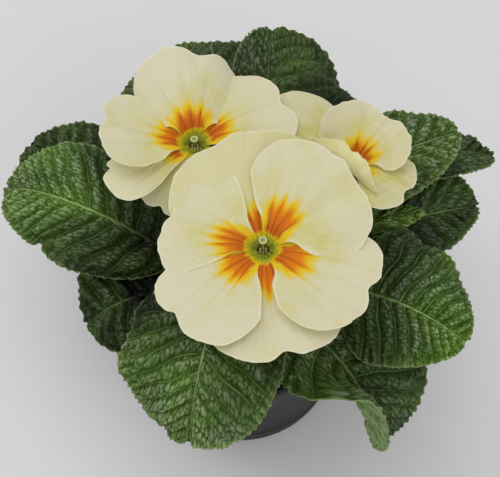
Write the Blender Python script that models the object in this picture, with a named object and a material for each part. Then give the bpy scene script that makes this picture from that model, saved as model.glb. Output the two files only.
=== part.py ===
"""A potted primrose: a nursery pot, its soil, twelve crinkled leaves and three open flowers.

The plans below hold millimetres and degrees, and the meshes are made in metres. The pot's flat
underside lies on z = 0 with its middle on the origin. Directions are turned counterclockwise
from +X, seen from above.
"""
import math
import random
from dataclasses import dataclass

import bmesh
import bpy
import numpy as np
from mathutils import Matrix, Vector

MM = 0.001
MERGE_DISTANCE = 0.00001
TOUCH_GAP = 0.3  # mm, left between pieces that rest on each other
SEED = 11

# Pot and soil, mm
RIM_RADIUS = 43.0
BASE_RADIUS = 37.0
POT_HEIGHT = 86.0
POT_WALL = 1.3
POT_FLOOR = 2.0
BAND_HEIGHT = 9.0
BAND_DEPTH = 1.2
RIM_LIP = 0.6
DRAIN_HOLES = 6
DRAIN_RADIUS = 3.2
DRAIN_RING = 20.0
DRAIN_TURN = 3.0  # degrees, keeps the holes off the floor's edges
CUT_REACH = 1.0  # how far a cutter passes the faces that it cuts
POT_STEPS = 48
FACET_GAP = 0.15  # how far the flats of a faceted wall lie inside its corners
SOIL_TOP = 75.0
SOIL_LUMP = 0.7
SOIL_STEPS = 36
SOIL_RINGS = 7

# Stems in the soil, mm
FOOT_HEIGHT = 73.0
HOLE_MARGIN = 0.7
HOLE_DEPTH = 1.2
HOLE_REACH = 12.0
HOLE_SIDES = 12

# Leaves, mm
LEAF_THICKNESS = 0.8
PETIOLE_HALF_WIDTH = 1.7
PETIOLE_THICKNESS = 2.2
RIB_RIDGE = 1.1
PLEAT = 0.65
TOOTH = 0.035
TIP_SHARE = 0.985
PETIOLE_ROWS = 4
LEAF_COLUMNS = (-1.0, -0.66, -0.3, 0.0, 0.3, 0.66, 1.0)
CURVE_STEPS = 80
SECTION_STEPS = 12

# Flowers, mm
THROAT = 2.5
PETAL_THICKNESS = 0.7
LOBE_ROWS = 7
LOBE_COLUMNS = 7
LOBE_REACH = 18.0  # sideways distance over which a lobe's cup and waves are reckoned
FREE_RADIUS = 5.0  # distance from the axis where lobes begin to bend on their own
EYE_RADIUS = 5.5
EYE_PITCH = 28.0  # degrees, how much steeper a lobe rises in the eye
EYE_FAN = 37.0  # degrees, half the angle that each lobe takes up at the throat
TUBE_OUTER = 2.4
TUBE_INNER = 1.8
COLLAR_RADIUS = 3.2
SCAPE_RADIUS = 1.3
SCAPE_ROWS = 8
CALYX_SIDES = 10
STYLE_RADIUS = 0.4
STIGMA_RADIUS = 1.1
ANTHERS = 6
ANTHER_SIZE = (0.36, 0.36, 1.0)
ANTHER_DEPTH = 2.2
RING_TOP = 2.9  # depth below the mouth of the ring that joins the anthers
RING_BOTTOM = 3.5


@dataclass(frozen=True)
class LeafPlan:
    """One leaf: a stalk that rises from the soil and a blade that bends over."""

    name: str
    foot: tuple
    heading: float
    sweep: float
    stalk: float
    blade: float
    width: float
    rise: float
    droop: float
    bend: float = 0.5
    roll: float = 0.0
    widest: float = 0.5
    lean: float = 0.0
    fold: float = 14.0
    recurve: float = 26.0
    wave: float = 8.0
    waves: float = 2.5
    phase: float = 0.0
    notches: tuple = ()
    curl: tuple = (0, 0.6, 0.0)
    laterals: int = 7


@dataclass(frozen=True)
class LobePlan:
    """One lobe of a flower, fanning out of the tube's mouth."""

    turn: float
    length: float
    left: float
    right: float
    rise: float
    tip: float
    layer: float = 0.0
    cup: float = 0.0
    corner: float = 0.25
    notch: float = 2.0
    notch_at: float = 0.0
    wave: float = 6.0
    waves: float = 1.5
    phase: float = 0.0
    curl: tuple = (0, 0.5, 0.0)


@dataclass(frozen=True)
class FlowerPlan:
    """One flower: where its mouth is, which way it faces and what it is made of."""

    name: str
    mouth: tuple
    lean: float
    toward: float
    foot: tuple
    tube: float
    style: float
    lobes: tuple
    arch: float = 0.4


LEAVES = (
    LeafPlan(
        "leaf_01", foot=(-6.5, -1), heading=165, sweep=-15, stalk=21.5, blade=71, width=43, rise=48, droop=-44,
        bend=0.59, roll=-12, widest=0.44, lean=-0.06, wave=7, phase=0.6, notches=((0.62, 1, 0.14),),
    ),
    LeafPlan(
        "leaf_02", foot=(-3, -11), heading=252, sweep=7, stalk=23, blade=68, width=50.4, rise=89, droop=-72,
        bend=0.54, roll=6, widest=0.49, lean=-0.04, wave=7, phase=2.0, notches=((0.93, -1, 0.3),),
    ),
    LeafPlan(
        "leaf_03", foot=(6, -6.6), heading=-4, sweep=-28, stalk=39, blade=41.2, width=49, rise=51, droop=-22,
        bend=0.58, roll=-6, widest=0.37, lean=0.11, wave=7, phase=4.2, laterals=6,
    ),
    LeafPlan(
        "leaf_04", foot=(4, -12.5), heading=-26, sweep=-44.4, stalk=20.3, blade=63.5, width=56, rise=52.5, droop=-81.5,
        bend=0.587, roll=-8.5, widest=0.278, lean=0.33, fold=13.9, wave=7.1, phase=1.1, curl=(-1, 0.343, 100),
    ),
    LeafPlan(
        "leaf_05", foot=(3.2, 2.2), heading=40, sweep=-19, stalk=33, blade=57, width=34, rise=47, droop=-8,
        bend=0.52, roll=-3, widest=0.51, lean=0.08, wave=7, phase=3.0,
    ),
    LeafPlan(
        "leaf_06", foot=(11, 3), heading=42, sweep=-27, stalk=40.5, blade=62.5, width=20, rise=41, droop=-45,
        bend=0.56, widest=0.5, lean=0.07, wave=8, phase=0.2, laterals=6,
    ),
    LeafPlan(
        "leaf_07", foot=(10.5, -3), heading=23.5, sweep=-3, stalk=28, blade=54, width=34, rise=36, droop=-26,
        bend=0.51, roll=28, widest=0.52, lean=0.12, wave=7, phase=5.0,
    ),
    LeafPlan(
        "leaf_08", foot=(5.5, -1.8), heading=27, sweep=-18, stalk=28, blade=37, width=12, rise=46, droop=-4,
        bend=0.55, widest=0.52, fold=36, wave=5, phase=1.7, laterals=5,
    ),
    LeafPlan(
        "leaf_09", foot=(-0.5, 4.5), heading=72, sweep=19, stalk=31.5, blade=63, width=46.5, rise=52, droop=-21,
        bend=0.53, roll=12, widest=0.58, lean=-0.47, wave=6, phase=2.6,
    ),
    LeafPlan(
        "leaf_10", foot=(-5.5, 5.5), heading=99, sweep=15, stalk=30, blade=61, width=56, rise=45, droop=-33,
        bend=0.53, roll=-10, widest=0.53, lean=-0.11, wave=7, phase=0.9,
    ),
    LeafPlan(
        "leaf_11", foot=(-10, 2.5), heading=143.5, sweep=1, stalk=28, blade=55.5, width=43.5, rise=37, droop=-23,
        bend=0.49, widest=0.51, lean=-0.03, wave=7, phase=3.6,
    ),
    LeafPlan(
        "leaf_12", foot=(-10, -5.5), heading=189, sweep=17, stalk=22, blade=27.2, width=38, rise=49, droop=-46,
        bend=0.64, widest=0.55, lean=-0.08, wave=9, phase=5.5, laterals=5,
    ),
)

FLOWERS = (
    FlowerPlan(
        "front", mouth=(7.4, -9.8, 127), lean=4, toward=110, foot=(1, -7), tube=14, style=5.5,
        lobes=(
            LobePlan(50, 34, 47, 62, 17, 16, layer=2, cup=-6, corner=0.28, notch=1.5, notch_at=-0.3, phase=0.4),
            LobePlan(96, 37, 61, 46, 9, 7, cup=-7, corner=0.18, notch=1.5, notch_at=0.3, phase=2.2),
            LobePlan(157, 30, 44, 48, 3, -16, layer=2, cup=2, corner=0.1, phase=1.3),
            LobePlan(220, 34, 48, 30, 4, -3, layer=1, cup=5, corner=0.3, phase=4.0),
            LobePlan(279, 34.7, 43, 43, 3, 2, cup=-8, corner=0.17, notch=2.6, notch_at=0.04, phase=5.2),
            LobePlan(335, 34.6, 36, 53, 7.5, -3, layer=1, cup=10, corner=0.38, phase=0.9),
        ),
    ),
    FlowerPlan(
        "left", mouth=(-13, 26.8, 121), lean=12, toward=95, foot=(-2.6, -1.2), tube=14, style=2.5,
        lobes=(
            LobePlan(102, 32.5, 49, 70, 28, 12, layer=2, cup=-32, corner=0.45, notch=3, notch_at=-0.2, phase=1.0),
            LobePlan(173, 29.5, 48, 32, 15, 20, layer=1, cup=8, corner=0.32, phase=3.1),
            LobePlan(210, 30, 28, 25, 1, -7, cup=4, corner=0.4, notch=2.5, notch_at=-0.45, phase=0.3),
            LobePlan(240, 24, 26, 34, -13, -42, curl=(-1, 0.1, 85)),
            LobePlan(310, 24, 42, 42, -6, -20, phase=2.0),
            LobePlan(27, 32, 44, 44, 12, -6, layer=1, corner=0.27, phase=4.4),
        ),
    ),
    FlowerPlan(
        "right", mouth=(34, 20.5, 118), lean=18, toward=45, foot=(1.6, -2.4), tube=12, style=2.0, arch=0.75,
        lobes=(
            LobePlan(54, 21, 76, 60, 36, 32, layer=2, cup=24, corner=0.3, phase=2.7),
            LobePlan(142, 34.3, 40, 46, 5, -12, layer=1, cup=-12, corner=0.3, phase=1.2),
            LobePlan(188, 20, 40, 44, -4, -10, phase=3.3),
            LobePlan(230, 17, 62, 62, 52, 116, corner=0.12, notch=0.8, phase=0.5),
            LobePlan(327, 20.3, 58, 50, 16, -4, layer=1, corner=0.22, phase=5.0),
        ),
    ),
)


def smooth(value):
    """An eased step from 0 to 1."""
    value = np.clip(value, 0.0, 1.0)
    return value * value * (3 - 2 * value)


def rib_curve(leaf):
    """Arc lengths, points, tangents and headings along a leaf's rib."""
    share = np.linspace(0, 1, CURVE_STEPS)
    pitch = np.radians(leaf.rise + (leaf.droop - leaf.rise) * smooth((share - leaf.bend + 0.45) / 0.9))
    heading = np.radians(leaf.heading + leaf.sweep * share)
    flat = np.cos(pitch)
    tangent = np.stack([flat * np.cos(heading), flat * np.sin(heading), np.sin(pitch)], -1)
    length = leaf.stalk + leaf.blade
    steps = (tangent[1:] + tangent[:-1]) / 2 * length / (CURVE_STEPS - 1)
    start = np.array([leaf.foot[0], leaf.foot[1], FOOT_HEIGHT])
    points = start + np.vstack([np.zeros(3), np.cumsum(steps, 0)])
    return share * length, points, tangent, heading


def half_width(leaf, share):
    """Half the blade's width at a share of its length."""
    power = math.log(0.5) / math.log(leaf.widest)
    bulge = np.clip(np.sin(math.pi * np.clip(share, 0, 1) ** power), 0, 1)
    return leaf.width / 2 * np.where(share < leaf.widest, bulge ** 0.72, bulge ** 0.54)


def blade_layout(leaf, u, v):
    """Flat places of blade coordinates: u runs from base to tip along the rib, v from edge to edge.

    A line of constant u follows a side vein, which slants forward towards the margin.
    """
    slant = 0.85 * u * (1 - u)
    reach = u + slant * np.abs(v) ** 1.15
    margin = u + slant
    wing = PETIOLE_HALF_WIDTH * (1 - margin) ** 2
    width = np.hypot(half_width(leaf, margin), wing) * (1 + leaf.lean * np.sign(v))
    for place, side, depth in leaf.notches:
        width = width * (1 - depth * np.exp(-((margin - place) / 0.035) ** 2) * (np.sign(v) == side))
    return leaf.stalk + leaf.blade * reach, width * v, width


def section_angle(leaf, share, side, size, own):
    """Slope of the blade's cross section, in degrees, at a distance from the rib."""
    q = size / (leaf.width / 2)
    angle = leaf.fold * (1 - smooth(q / 0.5)) - leaf.recurve * q ** 1.4
    ripple = np.sin(2 * math.pi * leaf.waves * share + leaf.phase + np.where(side > 0, 0.0, 2.2))
    angle = angle + 1.4 * leaf.wave * ripple * q ** 1.3
    curl_side, curl_start, curl_angle = leaf.curl
    curled = smooth((own - 0.09) / 0.29) * smooth((share - curl_start) / 0.25) * (side == curl_side)
    return (angle + curl_angle * curled) * smooth(share * 4)


def bend_leaf(leaf, along, across, width):
    """Points in space of flat places on a leaf."""
    arc, points, tangent, heading = rib_curve(leaf)
    place = np.stack([np.interp(along, arc, points[:, i]) for i in range(3)], -1)
    forward = np.stack([np.interp(along, arc, tangent[:, i]) for i in range(3)], -1)
    forward /= np.linalg.norm(forward, axis=-1, keepdims=True)
    turn = np.interp(along, arc, heading)
    level = np.stack([-np.sin(turn), np.cos(turn), 0 * turn], -1)
    share = np.clip((along - leaf.stalk) / leaf.blade, 0, 1)
    roll = (math.radians(leaf.roll) * smooth(share * 1.6))[..., None]
    side = level * np.cos(roll) + np.cross(forward, level) * np.sin(roll)
    normal = np.cross(forward, side)
    sign = np.where(across < 0, -1.0, 1.0)
    size = np.abs(across)
    out = np.zeros_like(size)
    up = np.zeros_like(size)
    for step in range(SECTION_STEPS):
        part = (step + 0.5) / SECTION_STEPS
        own = size * part / np.maximum(width, 0.5)
        angle = np.radians(section_angle(leaf, share, sign, size * part, own))
        out += np.cos(angle) * size / SECTION_STEPS
        up += np.sin(angle) * size / SECTION_STEPS
    return place + side * (sign * out)[..., None] + normal * up[..., None]


def leaf_rows(leaf):
    """The leaf's middle surface as rows of points, with the thickness at each point."""
    v = np.array(LEAF_COLUMNS)
    rows = 2 * leaf.laterals
    stalk = np.linspace(0, leaf.stalk, PETIOLE_ROWS, endpoint=False)[:, None] + 0 * v
    u = np.linspace(0, TIP_SHARE, rows + 1)[:, None] + 0 * v
    crest = (np.arange(rows + 1) % 2)[:, None] + 0 * v
    along, across, width = blade_layout(leaf, u, v)
    across = across * (1 - TOOTH * (1 - crest) * (np.abs(v) == 1) * smooth(u * 8))
    points = bend_leaf(
        leaf,
        np.vstack([stalk, along]),
        np.vstack([PETIOLE_HALF_WIDTH * v + 0 * stalk, across]),
        np.vstack([PETIOLE_HALF_WIDTH + 0 * stalk, width]),
    )
    normals = grid_normals(points)
    pleat = PLEAT * (2 * crest - 1) * smooth(np.abs(v) * 4) * (1 - 0.5 * np.abs(v)) * smooth(u * 6)
    lift = np.vstack([0 * stalk, pleat])
    petiole = LEAF_THICKNESS + (PETIOLE_THICKNESS - LEAF_THICKNESS) * (1 - v ** 2)
    ridge = LEAF_THICKNESS + RIB_RIDGE * (v == 0) * (1 - u) ** 1.5
    mix = smooth(u / 0.15)
    thickness = np.vstack([petiole + 0 * stalk, petiole * (1 - mix) + ridge * mix])
    return points + normals * lift[..., None], normals, thickness


def grid_normals(points):
    """Unit normals of a grid of points, from its neighbours."""
    normals = np.cross(np.gradient(points, axis=0), np.gradient(points, axis=1))
    return normals / np.maximum(np.linalg.norm(normals, axis=-1, keepdims=True), 1e-9)


def flower_axes(flower):
    """Unit vectors of a flower: two across its face, and the one that it faces along."""
    lean, toward = math.radians(flower.lean), math.radians(flower.toward)
    face = np.array([math.sin(lean) * math.cos(toward), math.sin(lean) * math.sin(toward), math.cos(lean)])
    first = np.array([1.0, 0, 0]) - face * face[0]
    first /= np.linalg.norm(first)
    return first, np.cross(face, first), face


def lobe_profile(lobe, along):
    """Outward distance, height and pitch at a distance along a lobe's middle line."""
    steps = np.linspace(0, lobe.length + 2, CURVE_STEPS)
    share = (steps - EYE_RADIUS) / (lobe.length - EYE_RADIUS)
    pitch = lobe.rise + (lobe.tip - lobe.rise) * smooth(share)
    pitch = np.radians(pitch + EYE_PITCH * np.clip(1 - steps / EYE_RADIUS, 0, 1))
    width = steps[1]
    out = np.concatenate([[0], np.cumsum((np.cos(pitch[1:]) + np.cos(pitch[:-1])) / 2 * width)])
    up = np.concatenate([[0], np.cumsum((np.sin(pitch[1:]) + np.sin(pitch[:-1])) / 2 * width)])
    height = np.interp(along, steps, up) - np.interp(THROAT, steps, up)
    outward = THROAT + np.interp(along, steps, out) - np.interp(THROAT, steps, out)
    return outward, height, np.interp(along, steps, pitch)


def lobe_section(lobe, rho, t, radius, across):
    """Sideways distance and lift of a lobe's cross section."""
    sign = np.where(across < 0, -1.0, 1.0)
    size = np.abs(across)
    spread = np.zeros_like(size)
    lift = np.zeros_like(size)
    curl_side, curl_start, curl_angle = lobe.curl
    reach = smooth((radius - FREE_RADIUS) / 8)
    curling = smooth((rho - curl_start) / 0.3) * (sign == curl_side)
    for step in range(SECTION_STEPS):
        part = (step + 0.5) / SECTION_STEPS
        q = size * part / LOBE_REACH
        ripple = np.sin(2 * math.pi * lobe.waves * q + lobe.phase + np.where(sign > 0, 0, 1.7))
        angle = lobe.cup * np.clip(q * 1.5, 0, 1.4) + lobe.wave * ripple * np.clip(q * 2, 0, 1)
        angle = angle + curl_angle * smooth((np.abs(t) * part - 0.35) / 0.5) * curling
        angle = np.radians(angle) * reach
        spread += np.cos(angle) * size / SECTION_STEPS
        lift += np.sin(angle) * size / SECTION_STEPS
    return sign * spread, lift + lobe.layer * smooth((radius - 3.5) / 5)


def lobe_points(flower, lobe, rho, t):
    """Points of a lobe: rho runs from the throat to the rim, t from its right side to its left."""
    fan = np.where(t > 0, lobe.left, lobe.right)
    angle = np.radians(t * (EYE_FAN + (fan - EYE_FAN) * smooth(rho * 1.5)))
    rim = lobe.length * (1 - lobe.corner * t ** 4 - 0.03 * t ** 2)
    rim = rim - lobe.notch * np.exp(-((t - lobe.notch_at) / 0.13) ** 2)
    radius = THROAT + rho * (rim - THROAT)
    mix = smooth((radius - 4) / 8)
    along = radius * (1 - mix) + radius * np.cos(angle) * mix
    out, height, pitch = lobe_profile(lobe, along)
    shrink = out / np.maximum(along, 1e-6)
    out = shrink * radius * np.cos(angle) * (1 - mix) + out * mix
    spread, lift = lobe_section(lobe, rho, t, radius, radius * np.sin(angle))
    first, second, face = flower_axes(flower)
    turn = math.radians(lobe.turn)
    outward = first * math.cos(turn) + second * math.sin(turn)
    sideways = second * math.cos(turn) - first * math.sin(turn)
    outward = (out - np.sin(pitch) * lift)[..., None] * outward
    upward = (height + np.cos(pitch) * lift)[..., None] * face
    return np.array(flower.mouth) + outward + spread[..., None] * sideways + upward


def finish(name, colour, roughness):
    """A plain Principled material."""
    material = bpy.data.materials.new(name)
    material.use_nodes = True
    shader = material.node_tree.nodes["Principled BSDF"]
    shader.inputs["Base Color"].default_value = (*colour, 1)
    shader.inputs["Roughness"].default_value = roughness
    shader.inputs["Metallic"].default_value = 0.0
    material.diffuse_color = (*colour, 1)
    return material


def add_object(name, mesh, material):
    """Link a smooth-shaded object that holds a mesh."""
    mesh.materials.clear()
    mesh.materials.append(material)
    mesh.shade_smooth()
    mesh.set_sharp_from_angle(angle=math.radians(40))
    piece = bpy.data.objects.new(name, mesh)
    bpy.context.collection.objects.link(piece)
    return piece


def mesh_from(bm, name):
    """A mesh with outward faces from a bmesh, which is freed."""
    bmesh.ops.recalc_face_normals(bm, faces=bm.faces)
    mesh = bpy.data.meshes.new(name)
    bm.to_mesh(mesh)
    bm.free()
    return mesh


def sheet_mesh(name, top, bottom):
    """A closed mesh between two grids of points in millimetres.

    Both faces are split into triangles alike, so a waved sheet keeps its thickness everywhere.
    """
    rows, columns = top.shape[:2]
    bm = bmesh.new()
    upper = [[bm.verts.new(Vector(point) * MM) for point in row] for row in top]
    lower = [[bm.verts.new(Vector(point) * MM) for point in row] for row in bottom]
    for i in range(rows - 1):
        for j in range(columns - 1):
            cells = ((i, j), (i + 1, j), (i + 1, j + 1)), ((i, j), (i + 1, j + 1), (i, j + 1))
            for cell in cells:
                bm.faces.new([upper[a][b] for a, b in cell])
                bm.faces.new([lower[a][b] for a, b in reversed(cell)])
    border = [(0, j) for j in range(columns)]
    border += [(i, columns - 1) for i in range(1, rows)]
    border += [(rows - 1, j) for j in range(columns - 2, -1, -1)]
    border += [(i, 0) for i in range(rows - 2, 0, -1)]
    for (a, b), (c, d) in zip(border, border[1:] + border[:1]):
        bm.faces.new((upper[a][b], upper[c][d], lower[c][d]))
        bm.faces.new((upper[a][b], lower[c][d], lower[a][b]))
    return mesh_from(bm, name)


def turned_mesh(name, profile, steps, closed=False, triangles=False):
    """A mesh turned round Z from a profile of radius and height in millimetres."""
    bm = bmesh.new()
    verts = [bm.verts.new((radius * MM, 0, height * MM)) for radius, height in profile]
    pairs = list(zip(verts, verts[1:]))
    if closed:
        pairs.append((verts[-1], verts[0]))
    edges = [bm.edges.new(pair) for pair in pairs]
    bmesh.ops.spin(
        bm, geom=verts + edges, cent=(0, 0, 0), axis=(0, 0, 1), angle=math.tau, steps=steps, use_merge=True
    )
    bmesh.ops.remove_doubles(bm, verts=bm.verts, dist=MERGE_DISTANCE)
    if triangles:
        bmesh.ops.triangulate(bm, faces=bm.faces)
    return mesh_from(bm, name)


def ring_skin(name, rings):
    """A closed mesh skinned over rings with equal counts of points, in millimetres."""
    bm = bmesh.new()
    loops = [[bm.verts.new(Vector(point) * MM) for point in ring] for ring in rings]
    for lower, upper in zip(loops, loops[1:]):
        count = len(lower)
        for i in range(count):
            j = (i + 1) % count
            bm.faces.new((lower[i], lower[j], upper[j]))
            bm.faces.new((lower[i], upper[j], upper[i]))
    bm.faces.new(loops[0])
    bm.faces.new(loops[-1])
    return mesh_from(bm, name)


def unite(name, meshes, material):
    """One object from overlapping closed meshes, joined by a Boolean on a collection."""
    helpers = bpy.data.collections.new(name + "_repeats")
    bpy.context.scene.collection.children.link(helpers)
    piece = add_object(name, meshes[0], material)
    for mesh in meshes[1:]:
        helper = bpy.data.objects.new(mesh.name, mesh)
        helpers.objects.link(helper)
    union = piece.modifiers.new("Union", "BOOLEAN")
    union.operation = "UNION"
    union.operand_type = "COLLECTION"
    union.collection = helpers
    union.solver = "MANIFOLD"
    apply_modifiers(piece)
    for helper in list(helpers.objects):
        bpy.data.objects.remove(helper)
    bpy.data.collections.remove(helpers)
    return piece


def apply_modifiers(piece):
    """Replace an object's mesh by its evaluated one."""
    evaluated = piece.evaluated_get(bpy.context.evaluated_depsgraph_get())
    mesh = bpy.data.meshes.new_from_object(evaluated)
    piece.modifiers.clear()
    piece.data = mesh


def cut(piece, cutters):
    """Cut closed meshes out of a piece, one after another."""
    for mesh in cutters:
        cutter = bpy.data.objects.new(mesh.name, mesh)
        bpy.context.collection.objects.link(cutter)
        hole = piece.modifiers.new("Hole", "BOOLEAN")
        hole.operation = "DIFFERENCE"
        hole.object = cutter
        apply_modifiers(piece)
        bpy.data.objects.remove(cutter)


def pin_mesh(name, start, axis, radius, length):
    """A closed round pin along an axis, in millimetres."""
    bm = bmesh.new()
    bmesh.ops.create_cone(
        bm, cap_ends=True, segments=HOLE_SIDES, radius1=radius * MM, radius2=radius * MM, depth=length * MM
    )
    turn = Vector((0, 0, 1)).rotation_difference(Vector(axis)).to_matrix().to_4x4()
    middle = Vector(start) * MM + Vector(axis).normalized() * length * MM / 2
    bmesh.ops.transform(bm, matrix=Matrix.Translation(middle) @ turn, verts=bm.verts)
    return mesh_from(bm, name)


def wall_radius(height):
    """Radius of the pot's outer wall at a height."""
    return BASE_RADIUS + (RIM_RADIUS - BAND_DEPTH - BASE_RADIUS) * height / POT_HEIGHT


def make_pot():
    """The tapered pot with its rim band and drain holes."""
    band = POT_HEIGHT - BAND_HEIGHT
    profile = [
        (0, 0),
        (BASE_RADIUS - 1, 0),
        (BASE_RADIUS, 1),
        (wall_radius(band), band),
        (RIM_RADIUS - 0.2, band + 0.4),
        (RIM_RADIUS, POT_HEIGHT - 1),
        (RIM_RADIUS - RIM_LIP, POT_HEIGHT),
        (RIM_RADIUS - BAND_DEPTH - RIM_LIP, POT_HEIGHT),
        (wall_radius(POT_HEIGHT) - POT_WALL, POT_HEIGHT - 1.5),
        (wall_radius(POT_FLOOR) - POT_WALL, POT_FLOOR),
        (0, POT_FLOOR),
    ]
    plastic = finish("pot_plastic", (0.045, 0.043, 0.048), 0.55)
    pot = add_object("pot", turned_mesh("pot", profile, POT_STEPS), plastic)
    angles = [math.tau * i / DRAIN_HOLES + math.radians(DRAIN_TURN) for i in range(DRAIN_HOLES)]
    starts = [(DRAIN_RING * math.cos(a), DRAIN_RING * math.sin(a), -CUT_REACH) for a in angles]
    length = POT_FLOOR + 2 * CUT_REACH
    cut(pot, [pin_mesh("drain", start, (0, 0, 1), DRAIN_RADIUS, length) for start in starts])


def stem_feet():
    """Foot, direction and radius of each stem that stands in the soil."""
    feet = []
    for leaf in LEAVES:
        tangent = rib_curve(leaf)[2][0]
        feet.append(((*leaf.foot, FOOT_HEIGHT), tangent, PETIOLE_HALF_WIDTH))
    for flower in FLOWERS:
        feet.append(((*flower.foot, FOOT_HEIGHT), scape_path(flower)[1][0], SCAPE_RADIUS))
    return feet


def make_soil():
    """Peat that fills the pot, lumpy on top, with a plain hole for each stem."""
    noise = random.Random(SEED)
    inner = POT_WALL + TOUCH_GAP + FACET_GAP
    bottom = POT_FLOOR + TOUCH_GAP
    profile = [(0, bottom), (wall_radius(bottom) - inner, bottom)]
    radius = wall_radius(SOIL_TOP) - inner
    profile += [(radius * ring / SOIL_RINGS, SOIL_TOP) for ring in range(SOIL_RINGS, -1, -1)]
    mesh = turned_mesh("soil", profile, SOIL_STEPS, triangles=True)
    edge = (radius - 0.5) * MM
    for vertex in mesh.vertices:
        on_top = vertex.co.z > (SOIL_TOP - 1) * MM
        if on_top and math.hypot(vertex.co.x, vertex.co.y) < edge:
            vertex.co.z += noise.uniform(-SOIL_LUMP, SOIL_LUMP) * MM
    soil = add_object("soil", mesh, finish("peat", (0.035, 0.022, 0.014), 0.95))
    holes = []
    for foot, axis, radius in stem_feet():
        start = Vector(foot) - Vector(axis) * HOLE_DEPTH
        holes.append(pin_mesh("stem_hole", start, axis, radius + HOLE_MARGIN, HOLE_DEPTH + HOLE_REACH))
    cut(soil, holes)


def make_leaf(leaf, material):
    """A leaf with its stalk, its pleats between side veins and its toothed edge."""
    points, normals, thickness = leaf_rows(leaf)
    bottom = points - normals * thickness[..., None]
    add_object(leaf.name, sheet_mesh(leaf.name, points, bottom), material)


def tube_mesh(flower):
    """The corolla's tube with the collar that its lobes grow from, standing on the origin."""
    profile = [
        (TUBE_INNER, -flower.tube),
        (TUBE_INNER, 0.1),
        (TUBE_INNER + 0.3, 0.35),
        (COLLAR_RADIUS, 0.55),
        (COLLAR_RADIUS, -0.5),
        (TUBE_OUTER, -2),
        (TUBE_OUTER, -flower.tube),
    ]
    return turned_mesh(flower.name + "_tube", profile, HOLE_SIDES, closed=True)


def place_on_flower(mesh, flower):
    """Move a mesh made round the origin onto a flower's mouth."""
    first, second, face = flower_axes(flower)
    turn = Matrix((first, second, face)).transposed().to_4x4()
    mesh.transform(Matrix.Translation(Vector(flower.mouth) * MM) @ turn)
    return mesh


def lobe_mesh(flower, lobe):
    """One lobe as a closed sheet."""
    rho = np.linspace(0, 1, LOBE_ROWS)[:, None] ** 0.9
    t = np.linspace(-1, 1, LOBE_COLUMNS)[None, :]
    points = lobe_points(flower, lobe, rho + 0 * t, t + 0 * rho)
    half = grid_normals(points) * PETAL_THICKNESS / 2
    return sheet_mesh(flower.name + "_lobe", points + half, points - half)


def make_corolla(flower, material):
    """The flower's tube and lobes, grown together."""
    meshes = [place_on_flower(tube_mesh(flower), flower)]
    meshes += [lobe_mesh(flower, lobe) for lobe in flower.lobes]
    return unite("corolla_" + flower.name, meshes, material)


def scape_path(flower):
    """Points and tangents of a flower's stalk, from the soil to its calyx."""
    face = flower_axes(flower)[2]
    start = np.array([*flower.foot, FOOT_HEIGHT])
    end = np.array(flower.mouth) - face * (flower.tube + 2)
    distance = np.linalg.norm(end - start)
    rising = start + np.array([0, 0, distance * flower.arch])
    corners = start, rising, end - face * distance * (0.8 - flower.arch), end
    share = np.linspace(0, 1, SCAPE_ROWS)[:, None]
    rest = 1 - share
    weights = rest ** 3, 3 * rest ** 2 * share, 3 * rest * share ** 2, share ** 3
    points = sum(weight * corner for weight, corner in zip(weights, corners))
    slopes = rest ** 2, 2 * rest * share, share ** 2
    tangents = sum(slope * (b - a) for slope, a, b in zip(slopes, corners, corners[1:]))
    return points, tangents / np.linalg.norm(tangents, axis=1, keepdims=True)


def ring_points(centre, first, second, radii, heights, face):
    """A ring of points whose radius and height differ from ridge to furrow."""
    ring = []
    for i in range(CALYX_SIDES):
        angle = math.tau * i / CALYX_SIDES
        direction = first * math.cos(angle) + second * math.sin(angle)
        ring.append(centre + direction * radii[i % 2] + face * heights[i % 2])
    return ring


def make_stalk(flower, material):
    """A flower stalk and the five-ridged calyx round the tube."""
    first, second, face = flower_axes(flower)
    mouth = np.array(flower.mouth)
    rings = []
    for point, tangent in zip(*scape_path(flower)):
        side = np.cross(second, tangent)
        side /= np.linalg.norm(side)
        other = np.cross(tangent, side)
        rings.append(ring_points(point, side, other, (SCAPE_RADIUS, SCAPE_RADIUS), (0, 0), face))
    floor = -flower.tube - TOUCH_GAP
    inner = TUBE_OUTER + 0.5
    outline = (
        ((3.2, 3.0), (floor - 0.6, floor - 0.6)),
        ((4.1, 3.6), (-0.6 * flower.tube, -0.6 * flower.tube)),
        ((4.0, 3.5), (-5.5, -5.5)),
        ((4.3, 3.5), (-1.2, -5.0)),
        ((3.8, inner), (-1.5, -5.1)),
        ((inner + 0.3, inner), (-5.8, -5.8)),
        ((inner, inner), (floor, floor)),
    )
    for radii, heights in outline:
        rings.append(ring_points(mouth, first, second, radii, heights, face))
    return add_object("stalk_" + flower.name, ring_skin(flower.name, rings), material)


def make_stamens(flower, material):
    """A ring of anthers that sits in the tube below its mouth."""
    outer = TUBE_INNER - TOUCH_GAP
    inner = STYLE_RADIUS + TOUCH_GAP
    ring = [(inner, -RING_BOTTOM), (inner, -RING_TOP), (outer, -RING_TOP), (outer, -RING_BOTTOM)]
    meshes = [turned_mesh(flower.name + "_ring", ring, HOLE_SIDES, closed=True)]
    for i in range(ANTHERS):
        angle = math.tau * (i + 0.5) / ANTHERS
        bm = bmesh.new()
        bmesh.ops.create_uvsphere(bm, u_segments=6, v_segments=4, radius=MM)
        place = Vector((math.cos(angle), math.sin(angle), 0)) * (inner + outer) / 2 * MM
        place.z = -ANTHER_DEPTH * MM
        shape = Matrix.Translation(place) @ Matrix.Diagonal((*ANTHER_SIZE, 1))
        bmesh.ops.transform(bm, matrix=shape, verts=bm.verts)
        meshes.append(mesh_from(bm, flower.name + "_anther"))
    return unite("stamens_" + flower.name, [place_on_flower(mesh, flower) for mesh in meshes], material)


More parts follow.
